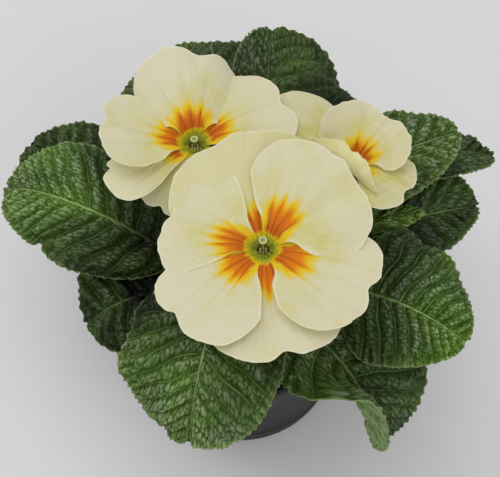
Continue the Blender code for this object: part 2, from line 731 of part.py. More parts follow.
def make_pistil(flower, material):
    """The ovary in the calyx, the style through the tube and the round stigma."""
    top = flower.style
    profile = [
        (0, -flower.tube),
        (1.0, -flower.tube),
        (1.3, 1.2 - flower.tube),
        (STYLE_RADIUS, 2.6 - flower.tube),
        (STYLE_RADIUS, top - 0.7),
        (STIGMA_RADIUS, top - 0.3),
        (STIGMA_RADIUS, top + 0.2),
        (0.7, top + 0.45),
        (0, top),
    ]
    mesh = turned_mesh(flower.name + "_pistil", profile, HOLE_SIDES)
    return add_object("pistil_" + flower.name, place_on_flower(mesh, flower), material)


def main():
    for piece in list(bpy.data.objects):
        bpy.data.objects.remove(piece)
    make_pot()
    make_soil()
    for leaf in LEAVES:
        make_leaf(leaf, finish(leaf.name + "_green", (0.045, 0.12, 0.03), 0.5))
    for flower in FLOWERS:
        make_corolla(flower, finish("petal_cream_" + flower.name, (0.80, 0.78, 0.55), 0.55))
        make_stalk(flower, finish("stalk_green_" + flower.name, (0.20, 0.32, 0.10), 0.6))
        make_stamens(flower, finish("anther_tan_" + flower.name, (0.45, 0.27, 0.10), 0.7))
        make_pistil(flower, finish("pistil_green_" + flower.name, (0.50, 0.55, 0.22), 0.6))


main()
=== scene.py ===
"""The looks of a potted primrose: crinkled leaves, cream flowers with orange eyes, and a nursery pot.

Plans hold millimetres and degrees, and meshes are written in metres. Directions are turned
counterclockwise from +X, seen from above, and the pot stands on z = 0.
"""

import logging
import math
from dataclasses import dataclass, field
from enum import Enum

import bpy
import numpy as np
from mathutils import Matrix, Vector


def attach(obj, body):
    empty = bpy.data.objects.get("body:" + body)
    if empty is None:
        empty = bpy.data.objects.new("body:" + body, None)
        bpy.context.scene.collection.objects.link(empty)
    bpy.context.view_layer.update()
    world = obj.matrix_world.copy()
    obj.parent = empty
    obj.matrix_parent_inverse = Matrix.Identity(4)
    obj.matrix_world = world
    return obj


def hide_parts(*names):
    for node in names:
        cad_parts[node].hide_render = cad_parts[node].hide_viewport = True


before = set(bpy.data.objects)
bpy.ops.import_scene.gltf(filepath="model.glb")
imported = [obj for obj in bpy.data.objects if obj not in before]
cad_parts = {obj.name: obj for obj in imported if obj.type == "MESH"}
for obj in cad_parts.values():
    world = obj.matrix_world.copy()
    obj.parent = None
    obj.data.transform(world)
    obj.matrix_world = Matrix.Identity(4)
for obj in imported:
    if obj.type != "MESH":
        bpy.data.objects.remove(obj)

LOG = logging.getLogger("primrose")
MM = 0.001  # metres in a millimetre
BODY = "root"  # the frame's one body
SOIL_HEIGHT = 73.0  # where leaves and flower stalks start, inside the soil
CURVE_STEPS = 120  # points along a leaf's rib or a lobe's middle line
SECTION_STEPS = 14  # parts in which a cross section is summed
SMOOTH_ANGLE = 60.0  # edges sharper than this stay sharp
TABLE = 64  # rows and columns of a table of random numbers


class Slot(Enum):
    """The material slots."""

    POT = "pot_plastic"
    SOIL = "peat"
    LEAF = "leaf_green"
    STALK = "stalk_green"
    PETAL = "petal_cream"
    ANTHER = "anther_tan"
    PISTIL = "pistil_green"


class Value:
    """A number in a material, on which sums add Math nodes."""

    def __init__(self, shade: "Shade", socket: bpy.types.NodeSocket) -> None:
        """Wrap a socket.

        Args:
            shade: The material that the socket belongs to.
            socket: The output socket that gives the number.
        """
        self.shade = shade
        self.socket = socket

    def _sum(self, operation: str, first: object, second: object = 0.0) -> "Value":
        """One Math node.

        Args:
            operation: The node's operation.
            first: A number or a Value.
            second: A number or a Value.

        Returns:
            The node's result.
        """
        node = self.shade.node("ShaderNodeMath", {"operation": operation}, {0: first, 1: second})
        return Value(self.shade, node.outputs[0])

    def __add__(self, other: object) -> "Value":
        """Sum."""
        return self._sum("ADD", self, other)

    def __radd__(self, other: object) -> "Value":
        """Sum."""
        return self._sum("ADD", other, self)

    def __sub__(self, other: object) -> "Value":
        """Difference."""
        return self._sum("SUBTRACT", self, other)

    def __rsub__(self, other: object) -> "Value":
        """Difference."""
        return self._sum("SUBTRACT", other, self)

    def __mul__(self, other: object) -> "Value":
        """Product."""
        return self._sum("MULTIPLY", self, other)

    def __rmul__(self, other: object) -> "Value":
        """Product."""
        return self._sum("MULTIPLY", other, self)

    def __truediv__(self, other: object) -> "Value":
        """Quotient."""
        return self._sum("DIVIDE", self, other)

    def __abs__(self) -> "Value":
        """Size without sign."""
        return self._sum("ABSOLUTE", self)

    def share(self) -> "Value":
        """What is left over a whole number."""
        return self._sum("FRACT", self)

    def least(self, other: object) -> "Value":
        """The smaller of two."""
        return self._sum("MINIMUM", self, other)

    def most(self, other: object) -> "Value":
        """The larger of two."""
        return self._sum("MAXIMUM", self, other)

    def step(self, start: float, end: float) -> "Value":
        """A soft step.

        Args:
            start: Where it is 0.
            end: Where it is 1.

        Returns:
            A number from 0 to 1.
        """
        inputs = {"Value": self, "From Min": start, "From Max": end}
        node = self.shade.node("ShaderNodeMapRange", {"interpolation_type": "SMOOTHSTEP"}, inputs)
        return Value(self.shade, node.outputs["Result"])


class Shade:
    """A material and the nodes that are added to it."""

    def __init__(self, name: str) -> None:
        """Start a material with its Principled shader.

        Args:
            name: The material's name.
        """
        self.material = bpy.data.materials.new(name)
        self.material.use_nodes = True
        self.tree = self.material.node_tree
        self.shader = self.tree.nodes["Principled BSDF"]

    def node(self, kind: str, settings: dict | None = None, inputs: dict | None = None) -> bpy.types.Node:
        """Add a node.

        Args:
            kind: The node's type.
            settings: Its properties, which are set first.
            inputs: Values or links by a socket's number, identifier or name.

        Returns:
            The node.
        """
        node = self.tree.nodes.new(kind)
        for name, value in (settings or {}).items():
            setattr(node, name, value)
        for key, value in (inputs or {}).items():
            self.feed(self._socket(node, key), value)
        return node

    def _socket(self, node: bpy.types.Node, key: object) -> bpy.types.NodeSocket:
        """A node's input.

        Args:
            node: The node.
            key: The input's number, identifier or name.

        Returns:
            The input socket.
        """
        if isinstance(key, int):
            return node.inputs[key]
        for socket in node.inputs:
            if socket.identifier == key:
                return socket
        return node.inputs[key]

    def feed(self, socket: bpy.types.NodeSocket, value: object) -> None:
        """Link or set a socket.

        Args:
            socket: The input.
            value: A Value, an output socket, a number or a colour.
        """
        if isinstance(value, Value):
            value = value.socket
        if isinstance(value, bpy.types.NodeSocket):
            self.tree.links.new(value, socket)
        elif socket.type == "RGBA" and len(value) == 3:
            socket.default_value = (*value, 1)
        else:
            socket.default_value = value

    def mix(self, factor: object, first: object, second: object) -> bpy.types.NodeSocket:
        """Blend two colours.

        Args:
            factor: The share of the second colour.
            first: A colour or a socket.
            second: A colour or a socket.

        Returns:
            The blended colour.
        """
        inputs = {"Factor_Float": factor, "A_Color": first, "B_Color": second}
        return self.node("ShaderNodeMix", {"data_type": "RGBA"}, inputs).outputs[2]

    def tint(self, amount: object, colour: object) -> bpy.types.NodeSocket:
        """Scale a colour's lightness.

        Args:
            amount: The factor.
            colour: A colour or a socket.

        Returns:
            The scaled colour.
        """
        node = self.node("ShaderNodeVectorMath", {"operation": "SCALE"}, {0: colour, "Scale": amount})
        return node.outputs[0]

    def attribute(self, name: str) -> Value:
        """A number kept on the mesh."""
        return Value(self, self.node("ShaderNodeAttribute", {"attribute_name": name}).outputs["Fac"])

    def place(self) -> bpy.types.NodeSocket:
        """The place on the object, in metres."""
        return self.node("ShaderNodeTexCoord").outputs["Object"]

    def noise(self, scale: float, detail: float = 2.0, vector: object = None) -> Value:
        """Soft noise from 0 to 1.

        Args:
            scale: Lumps per metre, or per unit of the vector.
            detail: How many finer layers it has.
            vector: Where it is read, the place on the object by default.

        Returns:
            The noise.
        """
        where = self.place() if vector is None else vector
        node = self.node("ShaderNodeTexNoise", None, {"Vector": where, "Scale": scale, "Detail": detail})
        return Value(self, node.outputs["Fac"])

    def row(self, first: object, second: object, third: object = 0.0) -> bpy.types.NodeSocket:
        """A vector of three numbers."""
        return self.node("ShaderNodeCombineXYZ", None, {0: first, 1: second, 2: third}).outputs[0]

    def relief(self, height: object, distance: float) -> None:
        """Bump the surface.

        Args:
            height: The height from 0 to 1.
            distance: What a height of 1 stands for, in metres.
        """
        inputs = {"Height": height, "Distance": distance, "Strength": 1.0}
        self.set("Normal", self.node("ShaderNodeBump", None, inputs).outputs[0])

    def set(self, name: str, value: object) -> None:
        """Feed a socket of the Principled shader."""
        self.feed(self.shader.inputs[name], value)


@dataclass(frozen=True)
class LeafFinish:
    """Green leaf: dark in the furrows as painted shade, paler on the puffs and at the edge, with pale veins,
    and with painted light and shade over the blade.

    Attributes:
        furrow: Colour between the puffs, a darker green that is painted shade in the furrows.
        puff: Colour on top of the puffs.
        yellow_green_and_painted_light: Yellower, lighter green on the puffs towards the tip and edge, partly
            the leaf's own colour and partly painted light.
        vein: Colour of the side veins.
        midrib: Colour of the rib.
        rim: Colour of the edge.
        under: Colour of the underside.
        net: Colour of all the veins on the underside.
        grain: Specks per metre.
        blotch: Patches of lighter and darker green per metre.
        gaps: Breaks in the veins per metre.
        crinkle: Fine wrinkles per metre.
        shine: Patches of gloss per metre.
        depth: Height of the specks and wrinkles, in metres.
        specular: Specular level under the gloss.
        coat_roughness: Roughness of the gloss.
        coat_ior: Refractive index of the gloss.
    """

    furrow: tuple = (0.018, 0.045, 0.006)
    puff: tuple = (0.057, 0.118, 0.017)
    yellow_green_and_painted_light: tuple = (0.125, 0.225, 0.020)
    vein: tuple = (0.19, 0.30, 0.085)
    midrib: tuple = (0.25, 0.35, 0.12)
    rim: tuple = (0.20, 0.28, 0.09)
    under: tuple = (0.115, 0.205, 0.05)
    net: tuple = (0.25, 0.35, 0.15)
    grain: float = 1300.0
    blotch: float = 90.0
    gaps: float = 160.0
    crinkle: float = 520.0
    shine: float = 110.0
    depth: float = 0.0004
    specular: float = 0.2
    coat_roughness: float = 0.38
    coat_ior: float = 1.9

    def make(self) -> bpy.types.Material:
        """Build the material.

        Returns:
            The material.
        """
        shade = Shade("leaf")
        puff = shade.attribute("puff")
        tone = shade.attribute("tone")
        speckle = shade.noise(self.grain, 3.0)
        # Painted shade: the furrows between the puffs are drawn darker than the puff tops
        green = shade.mix(puff * 0.9 + speckle * 0.4 - 0.15, self.furrow, self.puff)
        # A yellower, lighter green on the puffs towards the tip and edge: partly the leaf's own colour and
        # partly painted light
        green = shade.mix(shade.attribute("yellow_green_and_painted_light") * (0.25 + 0.75 * puff), green, self.yellow_green_and_painted_light)
        # Painted light and shade: the green is darker towards the blade's base, where the flowers shade it,
        # and on leaves that lie in shade, with random lumps and blotches
        green = shade.tint(tone * (0.75 + 0.5 * shade.noise(self.blotch)), green)
        # Side veins, broken here and there, and the rib
        off = abs((shade.attribute("lateral") + 0.5).share() - 0.5) * shade.attribute("gap")
        whole = shade.noise(self.gaps).step(0.3, 0.62)
        line = (1.0 - off.step(0.07, 0.26)) * shade.attribute("faint") * (0.4 + 0.6 * whole)
        stripe = 1.0 - shade.attribute("rib").step(0.4, 0.8)
        # The veins and the rib darken with the same painted shade
        dim = 0.1 + 0.9 * tone
        green = shade.mix(line * 0.8, green, shade.tint(dim, self.vein))
        green = shade.mix(stripe * 0.85, green, shade.tint(dim, self.midrib))
        under = shade.mix((1.0 - puff * 1.5).most(line).most(stripe), self.under, self.net)
        green = shade.mix(shade.attribute("edge") * 0.6, green, self.rim)
        shade.set("Base Color", shade.mix(shade.attribute("under"), green, under))
        shade.set("Roughness", 0.6 - 0.12 * puff)
        shade.relief(speckle * 0.4 + shade.noise(self.crinkle) - line * 0.3, self.depth)
        shade.set("Specular IOR Level", self.specular)
        gloss = shade.noise(self.shine).step(0.35, 0.65)
        # The gloss is weaker where the painted shade is deeper
        shade.set("Coat Weight", puff.step(0.1, 0.9) * tone * (0.35 + 0.65 * gloss))
        shade.set("Coat Roughness", self.coat_roughness)
        shade.set("Coat IOR", self.coat_ior)
        return shade.material


@dataclass(frozen=True)
class PetalFinish:
    """Cream petal with an eye of olive, orange rays and yellow fringes that follow its veins.

    Attributes:
        cream: Colour of the open lobe.
        blush_and_painted_shade: Yellower cream near the eye and in patches, partly the petal's own colour and
            partly painted shade in the folds and under other lobes.
        painted_highlight_brim: Paler cream at the rim, a painted highlight.
        yellow: Colour of the fringe round the rays.
        amber: Colour of the rays' outer part.
        rust: Colour of their inner part.
        line: Colour of the veins in them.
        olive: Colour round the throat.
        green: Colour in the throat, partly its own green and partly painted shade in the hole.
        back: Colour of the underside.
        veins_apart: Degrees from one vein to the next.
        painted_glow: Strength of a painted glow on the underside, which stands in for light shining through.
        depth: Height of the veins and streaks, in metres.
        scatter: Weight of the subsurface scattering.
        scatter_tint: How far each colour scatters, as shares.
        scatter_depth: How far light scatters, in metres.
        specular: Specular level.
    """

    cream: tuple = (0.665, 0.63, 0.45)
    blush_and_painted_shade: tuple = (0.60, 0.565, 0.22)
    painted_highlight_brim: tuple = (0.80, 0.78, 0.62)
    yellow: tuple = (0.74, 0.52, 0.003)
    amber: tuple = (0.76, 0.25, 0.003)
    rust: tuple = (0.58, 0.13, 0.009)
    line: tuple = (0.30, 0.06, 0.008)
    olive: tuple = (0.34, 0.34, 0.02)
    green: tuple = (0.12, 0.145, 0.018)
    back: tuple = (0.66, 0.63, 0.33)
    veins_apart: float = 13.0
    painted_glow: float = 0.22
    depth: float = 0.0003
    scatter: float = 0.2
    scatter_tint: tuple = (1.0, 0.9, 0.6)
    scatter_depth: float = 0.0003
    specular: float = 0.1

    def make(self) -> bpy.types.Material:
        """Build the material.

        Returns:
            The material.
        """
        shade = Shade("petal")
        angle, radius, number = (shade.attribute(name) for name in ("angle", "radius", "number"))
        under = shade.attribute("under")
        size = abs(angle)
        wander = self._grain(shade, angle * 0.045, radius * 0.02, number * 3.1)
        flick = self._grain(shade, angle * 0.5, radius * 0.05, number * 5.3, 4.0) - 0.5
        streak = self._grain(shade, angle * 0.5, radius * 0.035, number, 3.0)
        patch = self._grain(shade, angle * 0.05, radius * 0.3, number * 4.1)
        broad = self._grain(shade, angle * 0.035, radius * 0.08, number * 2.3)
        # Veins fan out from the throat, wandering a little
        off = abs((angle / self.veins_apart + 2.2 * wander + number * 0.37).share() - 0.5) * 2.0
        veins = (1.0 - off.step(0.0, 0.42)) * (1.0 - size.step(18.0, 34.0))
        # Orange rays reach furthest along the veins, and a yellow fringe stands round them
        reach = shade.attribute("ray") * (1.0 - 0.00024 * size * size + (flick * 5.5 - off * 2.6) / 16.0)
        over = radius - reach
        side = size - (25.0 + radius * 0.3).most(45.0 - radius * 2.4) + flick * 12.0
        bridge = size - (74.0 - radius * 4.5)
        orange = (1.0 - over.step(-3.2, 0.3)) * (1.0 - side.step(-9.0, 0.0))
        fringe = (1.0 - over.step(-0.4, 3.0)) * (1.0 - side.least(bridge).step(-2.0, 8.0))
        # The open lobe: cream, yellower near the eye and in patches, partly its own colour and partly painted
        # shade, and paler at its rim as a painted highlight
        # Near the eye, in broad patches and by each lobe's own share, the cream turns yellower: partly the
        # petal's colour and partly painted shade
        near = radius.step(28.0, 8.0) * (0.35 + 0.6 * patch.step(0.35, 0.7))
        warmth = streak.step(0.35, 0.75) * 0.2 + near + broad.step(0.45, 0.75) * 0.5
        cream = shade.mix(warmth + shade.attribute("warm"), self.cream, self.blush_and_painted_shade)
        # A painted highlight along the rim
        cream = shade.mix((1.0 - shade.attribute("painted_highlight_brim").step(0.0, 0.9)) * 0.45, cream, self.painted_highlight_brim)
        cream = shade.mix(veins * radius.step(28.0, 12.0) * 0.13, cream, self.olive)
        # The rays, the olive ring round the throat, and the dark green in it, which is partly painted shade
        # in the hole
        inward = radius + (patch - 0.5) * 3.0 + flick * 1.2
        colour = shade.mix(fringe * 0.95, cream, self.yellow)
        deep = shade.mix(radius.step(6.0, 14.0) * 0.8 + streak.step(0.4, 0.8) * 0.3, self.rust, self.amber)
        deep = shade.mix(veins * (1.0 - radius.step(9.0, 17.0)) * 0.6, deep, self.line)
        colour = shade.mix(orange * inward.step(4.6, 5.6), colour, deep)
        # Dark green in the throat: partly its own colour and partly painted shade in the hole
        heart = shade.mix(inward.step(2.0, 3.4), self.green, self.olive)
        heart = shade.mix(inward.step(3.5, 5.6) * (1.0 - veins * 0.5), heart, self.yellow)
        heart = shade.mix(veins * 0.25, heart, self.green)
        colour = shade.mix(1.0 - inward.step(4.8, 6.0), colour, heart)
        back = shade.mix(streak.step(0.3, 0.8) * 0.4, self.back, self.cream)
        shade.set("Base Color", shade.mix(under, colour, back))
        # A painted glow: the underside emits its own colour, standing in for light shining through the petal
        shade.set("Emission Color", shade.mix(under, (0.0, 0.0, 0.0), self.back))
        shade.set("Emission Strength", self.painted_glow)
        shade.set("Roughness", 0.55 + 0.12 * streak)
        shade.relief(streak * 0.7 + veins * 0.3, self.depth)
        shade.set("Subsurface Weight", self.scatter)
        shade.set("Subsurface Radius", self.scatter_tint)
        shade.set("Subsurface Scale", self.scatter_depth)
        shade.set("Specular IOR Level", self.specular)
        return shade.material

    def _grain(self, shade: Shade, turn: Value, out: Value, lobe: Value, detail: float = 2.0) -> Value:
        """Noise that follows a lobe's veins.

        Args:
            shade: The material.
            turn: Place across the lobe, in lumps.
            out: Place along it, in lumps.
            lobe: Place that sets one lobe apart from the next.
            detail: How many finer layers it has.

        Returns:
            The noise, from 0 to 1.
        """
        return shade.noise(1.0, detail, shade.row(turn, out, lobe))


@dataclass(frozen=True)
class PlainFinish:
    """A finish of one colour that varies a little, for the small and the hidden pieces.

    Attributes:
        name: The material's name.
        dark: Its darkest colour.
        light: Its lightest colour.
        grain: Lumps per metre.
        roughness: Middle roughness.
        depth: Height of the lumps, in metres.
    """

    name: str
    dark: tuple
    light: tuple
    grain: float
    roughness: float
    depth: float

    def make(self) -> bpy.types.Material:
        """Build the material.

        Returns:
            The material.
        """
        shade = Shade(self.name)
        coarse = shade.noise(self.grain, 4.0)
        fine = shade.noise(self.grain * 5, 3.0)
        shade.set("Base Color", shade.mix(coarse * 0.7 + fine * 0.4 - 0.05, self.dark, self.light))
        shade.set("Roughness", self.roughness + 0.12 * (fine - 0.5))
        shade.relief(coarse * 0.6 + fine * 0.4, self.depth)
        return shade.material


PEAT = PlainFinish("peat", (0.010, 0.006, 0.004), (0.085, 0.052, 0.030), 900, 0.95, 0.0009)
PLASTIC = PlainFinish("pot_plastic", (0.0026, 0.0025, 0.0023), (0.0068, 0.0066, 0.006), 260, 0.7, 0.00008)
DOWN = PlainFinish("stalk", (0.13, 0.20, 0.055), (0.27, 0.36, 0.13), 700, 0.6, 0.0001)
POLLEN = PlainFinish("anther", (0.34, 0.22, 0.06), (0.76, 0.63, 0.28), 2600, 0.8, 0.0001)


@dataclass(frozen=True)
class PistilFinish:
    """Olive style and ovary under a stigma with a pale rim.

    Attributes:
        rim: Colour of the stigma's rim.
        hollow: Colour of the rest.
        grain: Lumps per metre.
        depth: Height of the lumps, in metres.
    """

    rim: tuple = (0.62, 0.64, 0.33)
    hollow: tuple = (0.24, 0.28, 0.045)
    grain: float = 1500.0
    depth: float = 0.00005

    def make(self) -> bpy.types.Material:
        """Build the material.

        Returns:
            The material.
        """
        shade = Shade("pistil")
        grain = shade.noise(self.grain, 3.0)
        shade.set("Base Color", shade.mix(shade.attribute("rim") * 0.9 + grain * 0.1, self.hollow, self.rim))
        shade.set("Roughness", 0.5 + 0.1 * grain)
        shade.relief(grain, self.depth)
        return shade.material


@dataclass(frozen=True)
class LeafPlan:
    """One leaf: a stalk that rises from the soil and a blade that bends over.

    Attributes:
        name: The CAD node that it stands for.
        foot: Where it leaves the soil, in x and y.
        heading: The direction in which it sets out.
        sweep: How far that turns on the way to the tip.
        stalk: Length of the stalk.
        blade: Length of the blade.
        width: Greatest width of the blade.
        rise: Pitch at the foot.
        droop: Pitch at the tip.
        bend: Share of the length about which it bends over.
        roll: Tilt of the blade about its rib.
        widest: Share of the blade at which it is widest.
        lean: How much wider its left half is, as a share.
        fold: How steeply both halves rise beside the rib.
        recurve: How far they fall back towards the edge.
        wave: Swing of the edge.
        waves: How often it swings.
        phase: Where the waves start.
        notches: Place, side and depth of each notch in the edge.
        curl: Side, start and angle of an edge that rolls over.
        mesh: Side of a mesh square.
        veins: Side veins on each half.
        yellow_green_and_painted_light: How much of that yellower, lighter green it has, partly its own colour
            and partly painted light.
        tone: How light it is drawn, which is painted light and shade, lower on leaves that lie in shade.
        painted_shade_at_base: Share of that painted lightness at the blade's base, where the flowers shade
            it.
        fade: Share of that painted lightness that is lost at the tip.
    """

    name: str
    foot: tuple
    heading: float
    sweep: float
    stalk: float
    blade: float
    width: float
    rise: float
    droop: float
    bend: float = 0.5
    roll: float = 0.0
    widest: float = 0.5
    lean: float = 0.0
    fold: float = 14.0
    recurve: float = 26.0
    wave: float = 8.0
    waves: float = 2.5
    phase: float = 0.0
    notches: tuple = ()
    curl: tuple = (0, 0.6, 0.0)
    mesh: float = 0.53
    veins: int = 11
    yellow_green_and_painted_light: float = 0.2
    tone: float = 1.0
    painted_shade_at_base: float = 0.3
    fade: float = 0.0


@dataclass(frozen=True)
class LobePlan:
    """One lobe of a flower, fanning out of the tube's mouth.

    Attributes:
        turn: Its direction round the flower.
        length: Distance from the flower's middle to its rim.
        left: How far it fans to the left.
        right: How far it fans to the right.
        rise: Pitch beyond the eye.
        tip: Pitch at the rim.
        layer: How far it lies above the lowest lobes.
        cup: How far its sides turn up.
        corner: How much shorter its corners are, as a share.
        notch: Depth of the notch in its rim.
        notch_at: Where the notch is, from -1 at the right to 1 at the left.
        wave: Swing of its surface from side to side.
        waves: How often it swings.
        phase: Where the waves start.
        curl: Side, start and angle of a side that rolls over.
        ray: Length of its orange rays.
        arm: How far the rays stand left of its middle.
        warm: How much yellower it is, partly its own colour and partly painted shade.
        spread: How much wider than usual its rays fan out.
    """

    turn: float
    length: float
    left: float
    right: float
    rise: float
    tip: float
    layer: float = 0.0
    cup: float = 0.0
    corner: float = 0.25
    notch: float = 2.0
    notch_at: float = 0.0
    wave: float = 6.0
    waves: float = 1.5
    phase: float = 0.0
    curl: tuple = (0, 0.5, 0.0)
    ray: float = 16.5
    arm: float = 0.0
    warm: float = 0.0
    spread: float = 1.0


@dataclass(frozen=True)
class FlowerPlan:
    """One flower.

    Attributes:
        name: The ending of its CAD nodes' names.
        mouth: Where the tube opens, in x, y and z.
        lean: How far it leans from upright.
        toward: The direction in which it leans.
        foot: Where its stalk leaves the soil, in x and y.
        tube: Length of its tube.
        style: How far the stigma stands out of the tube's mouth.
        lobes: Its lobes.
        arch: How far its stalk rises before it turns outwards, as a share.
    """

    name: str
    mouth: tuple
    lean: float
    toward: float
    foot: tuple
    tube: float
    style: float
    lobes: tuple
    arch: float = 0.4


LEAVES = (
    LeafPlan(
        "leaf_01", foot=(-6.5, -1), heading=165, sweep=-15, stalk=21.5, blade=71, width=43, rise=48,
        droop=-44,
        bend=0.59, roll=-12, widest=0.44, lean=-0.06, wave=7, phase=0.6, notches=((0.62, 1, 0.14),),
        mesh=0.385, veins=14, yellow_green_and_painted_light=0.32, tone=1.5, painted_shade_at_base=0.14, fade=0.35,
    ),
    LeafPlan(
        "leaf_02", foot=(-3, -11), heading=252, sweep=7, stalk=23, blade=68, width=50.4, rise=89, droop=-72,
        bend=0.54, roll=6, widest=0.49, lean=-0.04, wave=7, phase=2.0, notches=((0.93, -1, 0.3),),
        mesh=0.385, veins=13, tone=1.25, painted_shade_at_base=0.2,
    ),
    LeafPlan(
        "leaf_03", foot=(6, -6.6), heading=-4, sweep=-28, stalk=39, blade=41.2, width=49, rise=51, droop=-22,
        bend=0.58, roll=-6, widest=0.37, lean=0.11, wave=7, phase=4.2, mesh=0.365, yellow_green_and_painted_light=0.15, tone=1.4,
    ),
    LeafPlan(
        "leaf_04", foot=(4, -12.5), heading=-26, sweep=-44.4, stalk=20.3, blade=63.5, width=56, rise=52.5,
        droop=-81.5, bend=0.587, roll=-8.5, widest=0.278, lean=0.33, fold=13.9, wave=7.1, phase=1.1,
        curl=(-1, 0.343, 100), mesh=0.43, yellow_green_and_painted_light=0.3, tone=0.52, painted_shade_at_base=1.75,
    ),
    LeafPlan(
        "leaf_05", foot=(3.2, 2.2), heading=40, sweep=-19, stalk=33, blade=57, width=34, rise=47, droop=-8,
        bend=0.52, roll=-3, widest=0.51, lean=0.08, wave=7, phase=3.0, veins=9, tone=1.05,
    ),
    LeafPlan(
        "leaf_06", foot=(11, 3), heading=42, sweep=-27, stalk=40.5, blade=62.5, width=20, rise=41, droop=-45,
        bend=0.56, widest=0.5, lean=0.07, wave=8, phase=0.2, veins=9, tone=0.48,
    ),
    LeafPlan(
        "leaf_07", foot=(10.5, -3), heading=23.5, sweep=-3, stalk=28, blade=54, width=34, rise=36, droop=-26,
        bend=0.51, roll=28, widest=0.52, lean=0.12, wave=7, phase=5.0, veins=9, tone=0.42,
    ),
    LeafPlan(
        "leaf_08", foot=(5.5, -1.8), heading=27, sweep=-18, stalk=28, blade=37, width=12, rise=46, droop=-4,
        bend=0.55, widest=0.52, fold=36, wave=5, phase=1.7, veins=6, yellow_green_and_painted_light=0.3,
    ),
    LeafPlan(
        "leaf_09", foot=(-0.5, 4.5), heading=72, sweep=19, stalk=31.5, blade=63, width=46.5, rise=52,
        droop=-21, bend=0.53, roll=12, widest=0.58, lean=-0.47, wave=6, phase=2.6, veins=10, yellow_green_and_painted_light=0.35,
        tone=0.5,
    ),
    LeafPlan(
        "leaf_10", foot=(-5.5, 5.5), heading=99, sweep=15, stalk=30, blade=61, width=56, rise=45, droop=-33,
        bend=0.53, roll=-10, widest=0.53, lean=-0.11, wave=7, phase=0.9, veins=10, yellow_green_and_painted_light=0.35, tone=0.62,
    ),
    LeafPlan(
        "leaf_11", foot=(-10, 2.5), heading=143.5, sweep=1, stalk=28, blade=55.5, width=43.5, rise=37,
        droop=-23, bend=0.49, widest=0.51, lean=-0.03, wave=7, phase=3.6, veins=9, yellow_green_and_painted_light=0.3, tone=0.43,
    ),
    LeafPlan(
        "leaf_12", foot=(-10, -5.5), heading=189, sweep=17, stalk=22, blade=27.2, width=38, rise=49,
        droop=-46, bend=0.64, widest=0.55, lean=-0.08, wave=9, phase=5.5, veins=6, yellow_green_and_painted_light=0.3, tone=0.35,
    ),
)

FLOWERS = (
    FlowerPlan(
        "front", mouth=(7.4, -9.8, 127), lean=4, toward=110, foot=(1, -7), tube=14, style=5.5,
        lobes=(
            LobePlan(
                50, 34, 47, 62, 17, 16, layer=2, cup=-6, corner=0.28, notch=1.5, notch_at=-0.3, phase=0.4,
                arm=5,
            ),
            LobePlan(
                96, 37, 61, 46, 9, 7, cup=-7, corner=0.18, notch=1.5, notch_at=0.3, phase=2.2, ray=14,
                warm=0.35,
            ),
            LobePlan(157, 30, 44, 48, 3, -16, layer=2, cup=2, corner=0.1, phase=1.3, ray=15.5, arm=14),
            LobePlan(220, 34, 48, 30, 4, -3, layer=1, cup=5, corner=0.3, phase=4.0, ray=15.5, warm=-0.15),
            LobePlan(
                279, 34.7, 43, 43, 3, 2, cup=-8, corner=0.17, notch=2.6, notch_at=0.04, phase=5.2, warm=-0.2,
            ),
            LobePlan(335, 34.6, 36, 53, 7.5, -3, layer=1, cup=10, corner=0.38, phase=0.9),
        ),
    ),
    FlowerPlan(
        "left", mouth=(-13, 26.8, 121), lean=12, toward=95, foot=(-2.6, -1.2), tube=14, style=2.5,
        lobes=(
            LobePlan(
                102, 32.5, 49, 70, 28, 12, layer=2, cup=-32, corner=0.45, notch=3, notch_at=-0.2, phase=1.0,
                ray=13, warm=-0.2, spread=1.5,
            ),
            LobePlan(173, 29.5, 48, 32, 15, 20, layer=1, cup=8, corner=0.32, phase=3.1, ray=13.5),
            LobePlan(210, 30, 28, 25, 1, -7, cup=4, corner=0.4, notch=2.5, notch_at=-0.45, phase=0.3, ray=11),
            LobePlan(240, 24, 26, 34, -13, -42, curl=(-1, 0.1, 85), ray=4),
            LobePlan(310, 24, 42, 42, -6, -20, phase=2.0, ray=4),
            LobePlan(27, 32, 44, 44, 12, -6, layer=1, corner=0.27, phase=4.4, ray=13.5),
        ),
    ),
    FlowerPlan(
        "right", mouth=(34, 20.5, 118), lean=18, toward=45, foot=(1.6, -2.4), tube=12, style=2.0, arch=0.75,
        lobes=(
            LobePlan(
                54, 21, 76, 60, 36, 32, layer=2, cup=24, corner=0.3, phase=2.7, ray=11, warm=-0.2, spread=1.4,
            ),
            LobePlan(142, 34.3, 40, 46, 5, -12, layer=1, cup=-12, corner=0.3, phase=1.2, ray=8.5, warm=0.25),
            LobePlan(188, 20, 40, 44, -4, -10, phase=3.3, ray=8),
            LobePlan(230, 17, 62, 62, 52, 116, corner=0.12, notch=0.8, phase=0.5, warm=0.15),
            LobePlan(327, 20.3, 58, 50, 16, -4, layer=1, corner=0.22, phase=5.0, ray=8.5),
        ),
    ),
)


def smooth(value: np.ndarray) -> np.ndarray:
    """An eased step from 0 to 1."""
    value = np.clip(value, 0.0, 1.0)
    return value * value * (3 - 2 * value)


def grid_normals(points: np.ndarray) -> np.ndarray:
    """Unit normals of a grid of points, from its neighbours."""
    normals = np.cross(np.gradient(points, axis=0), np.gradient(points, axis=1))
    return normals / np.maximum(np.linalg.norm(normals, axis=-1, keepdims=True), 1e-9)


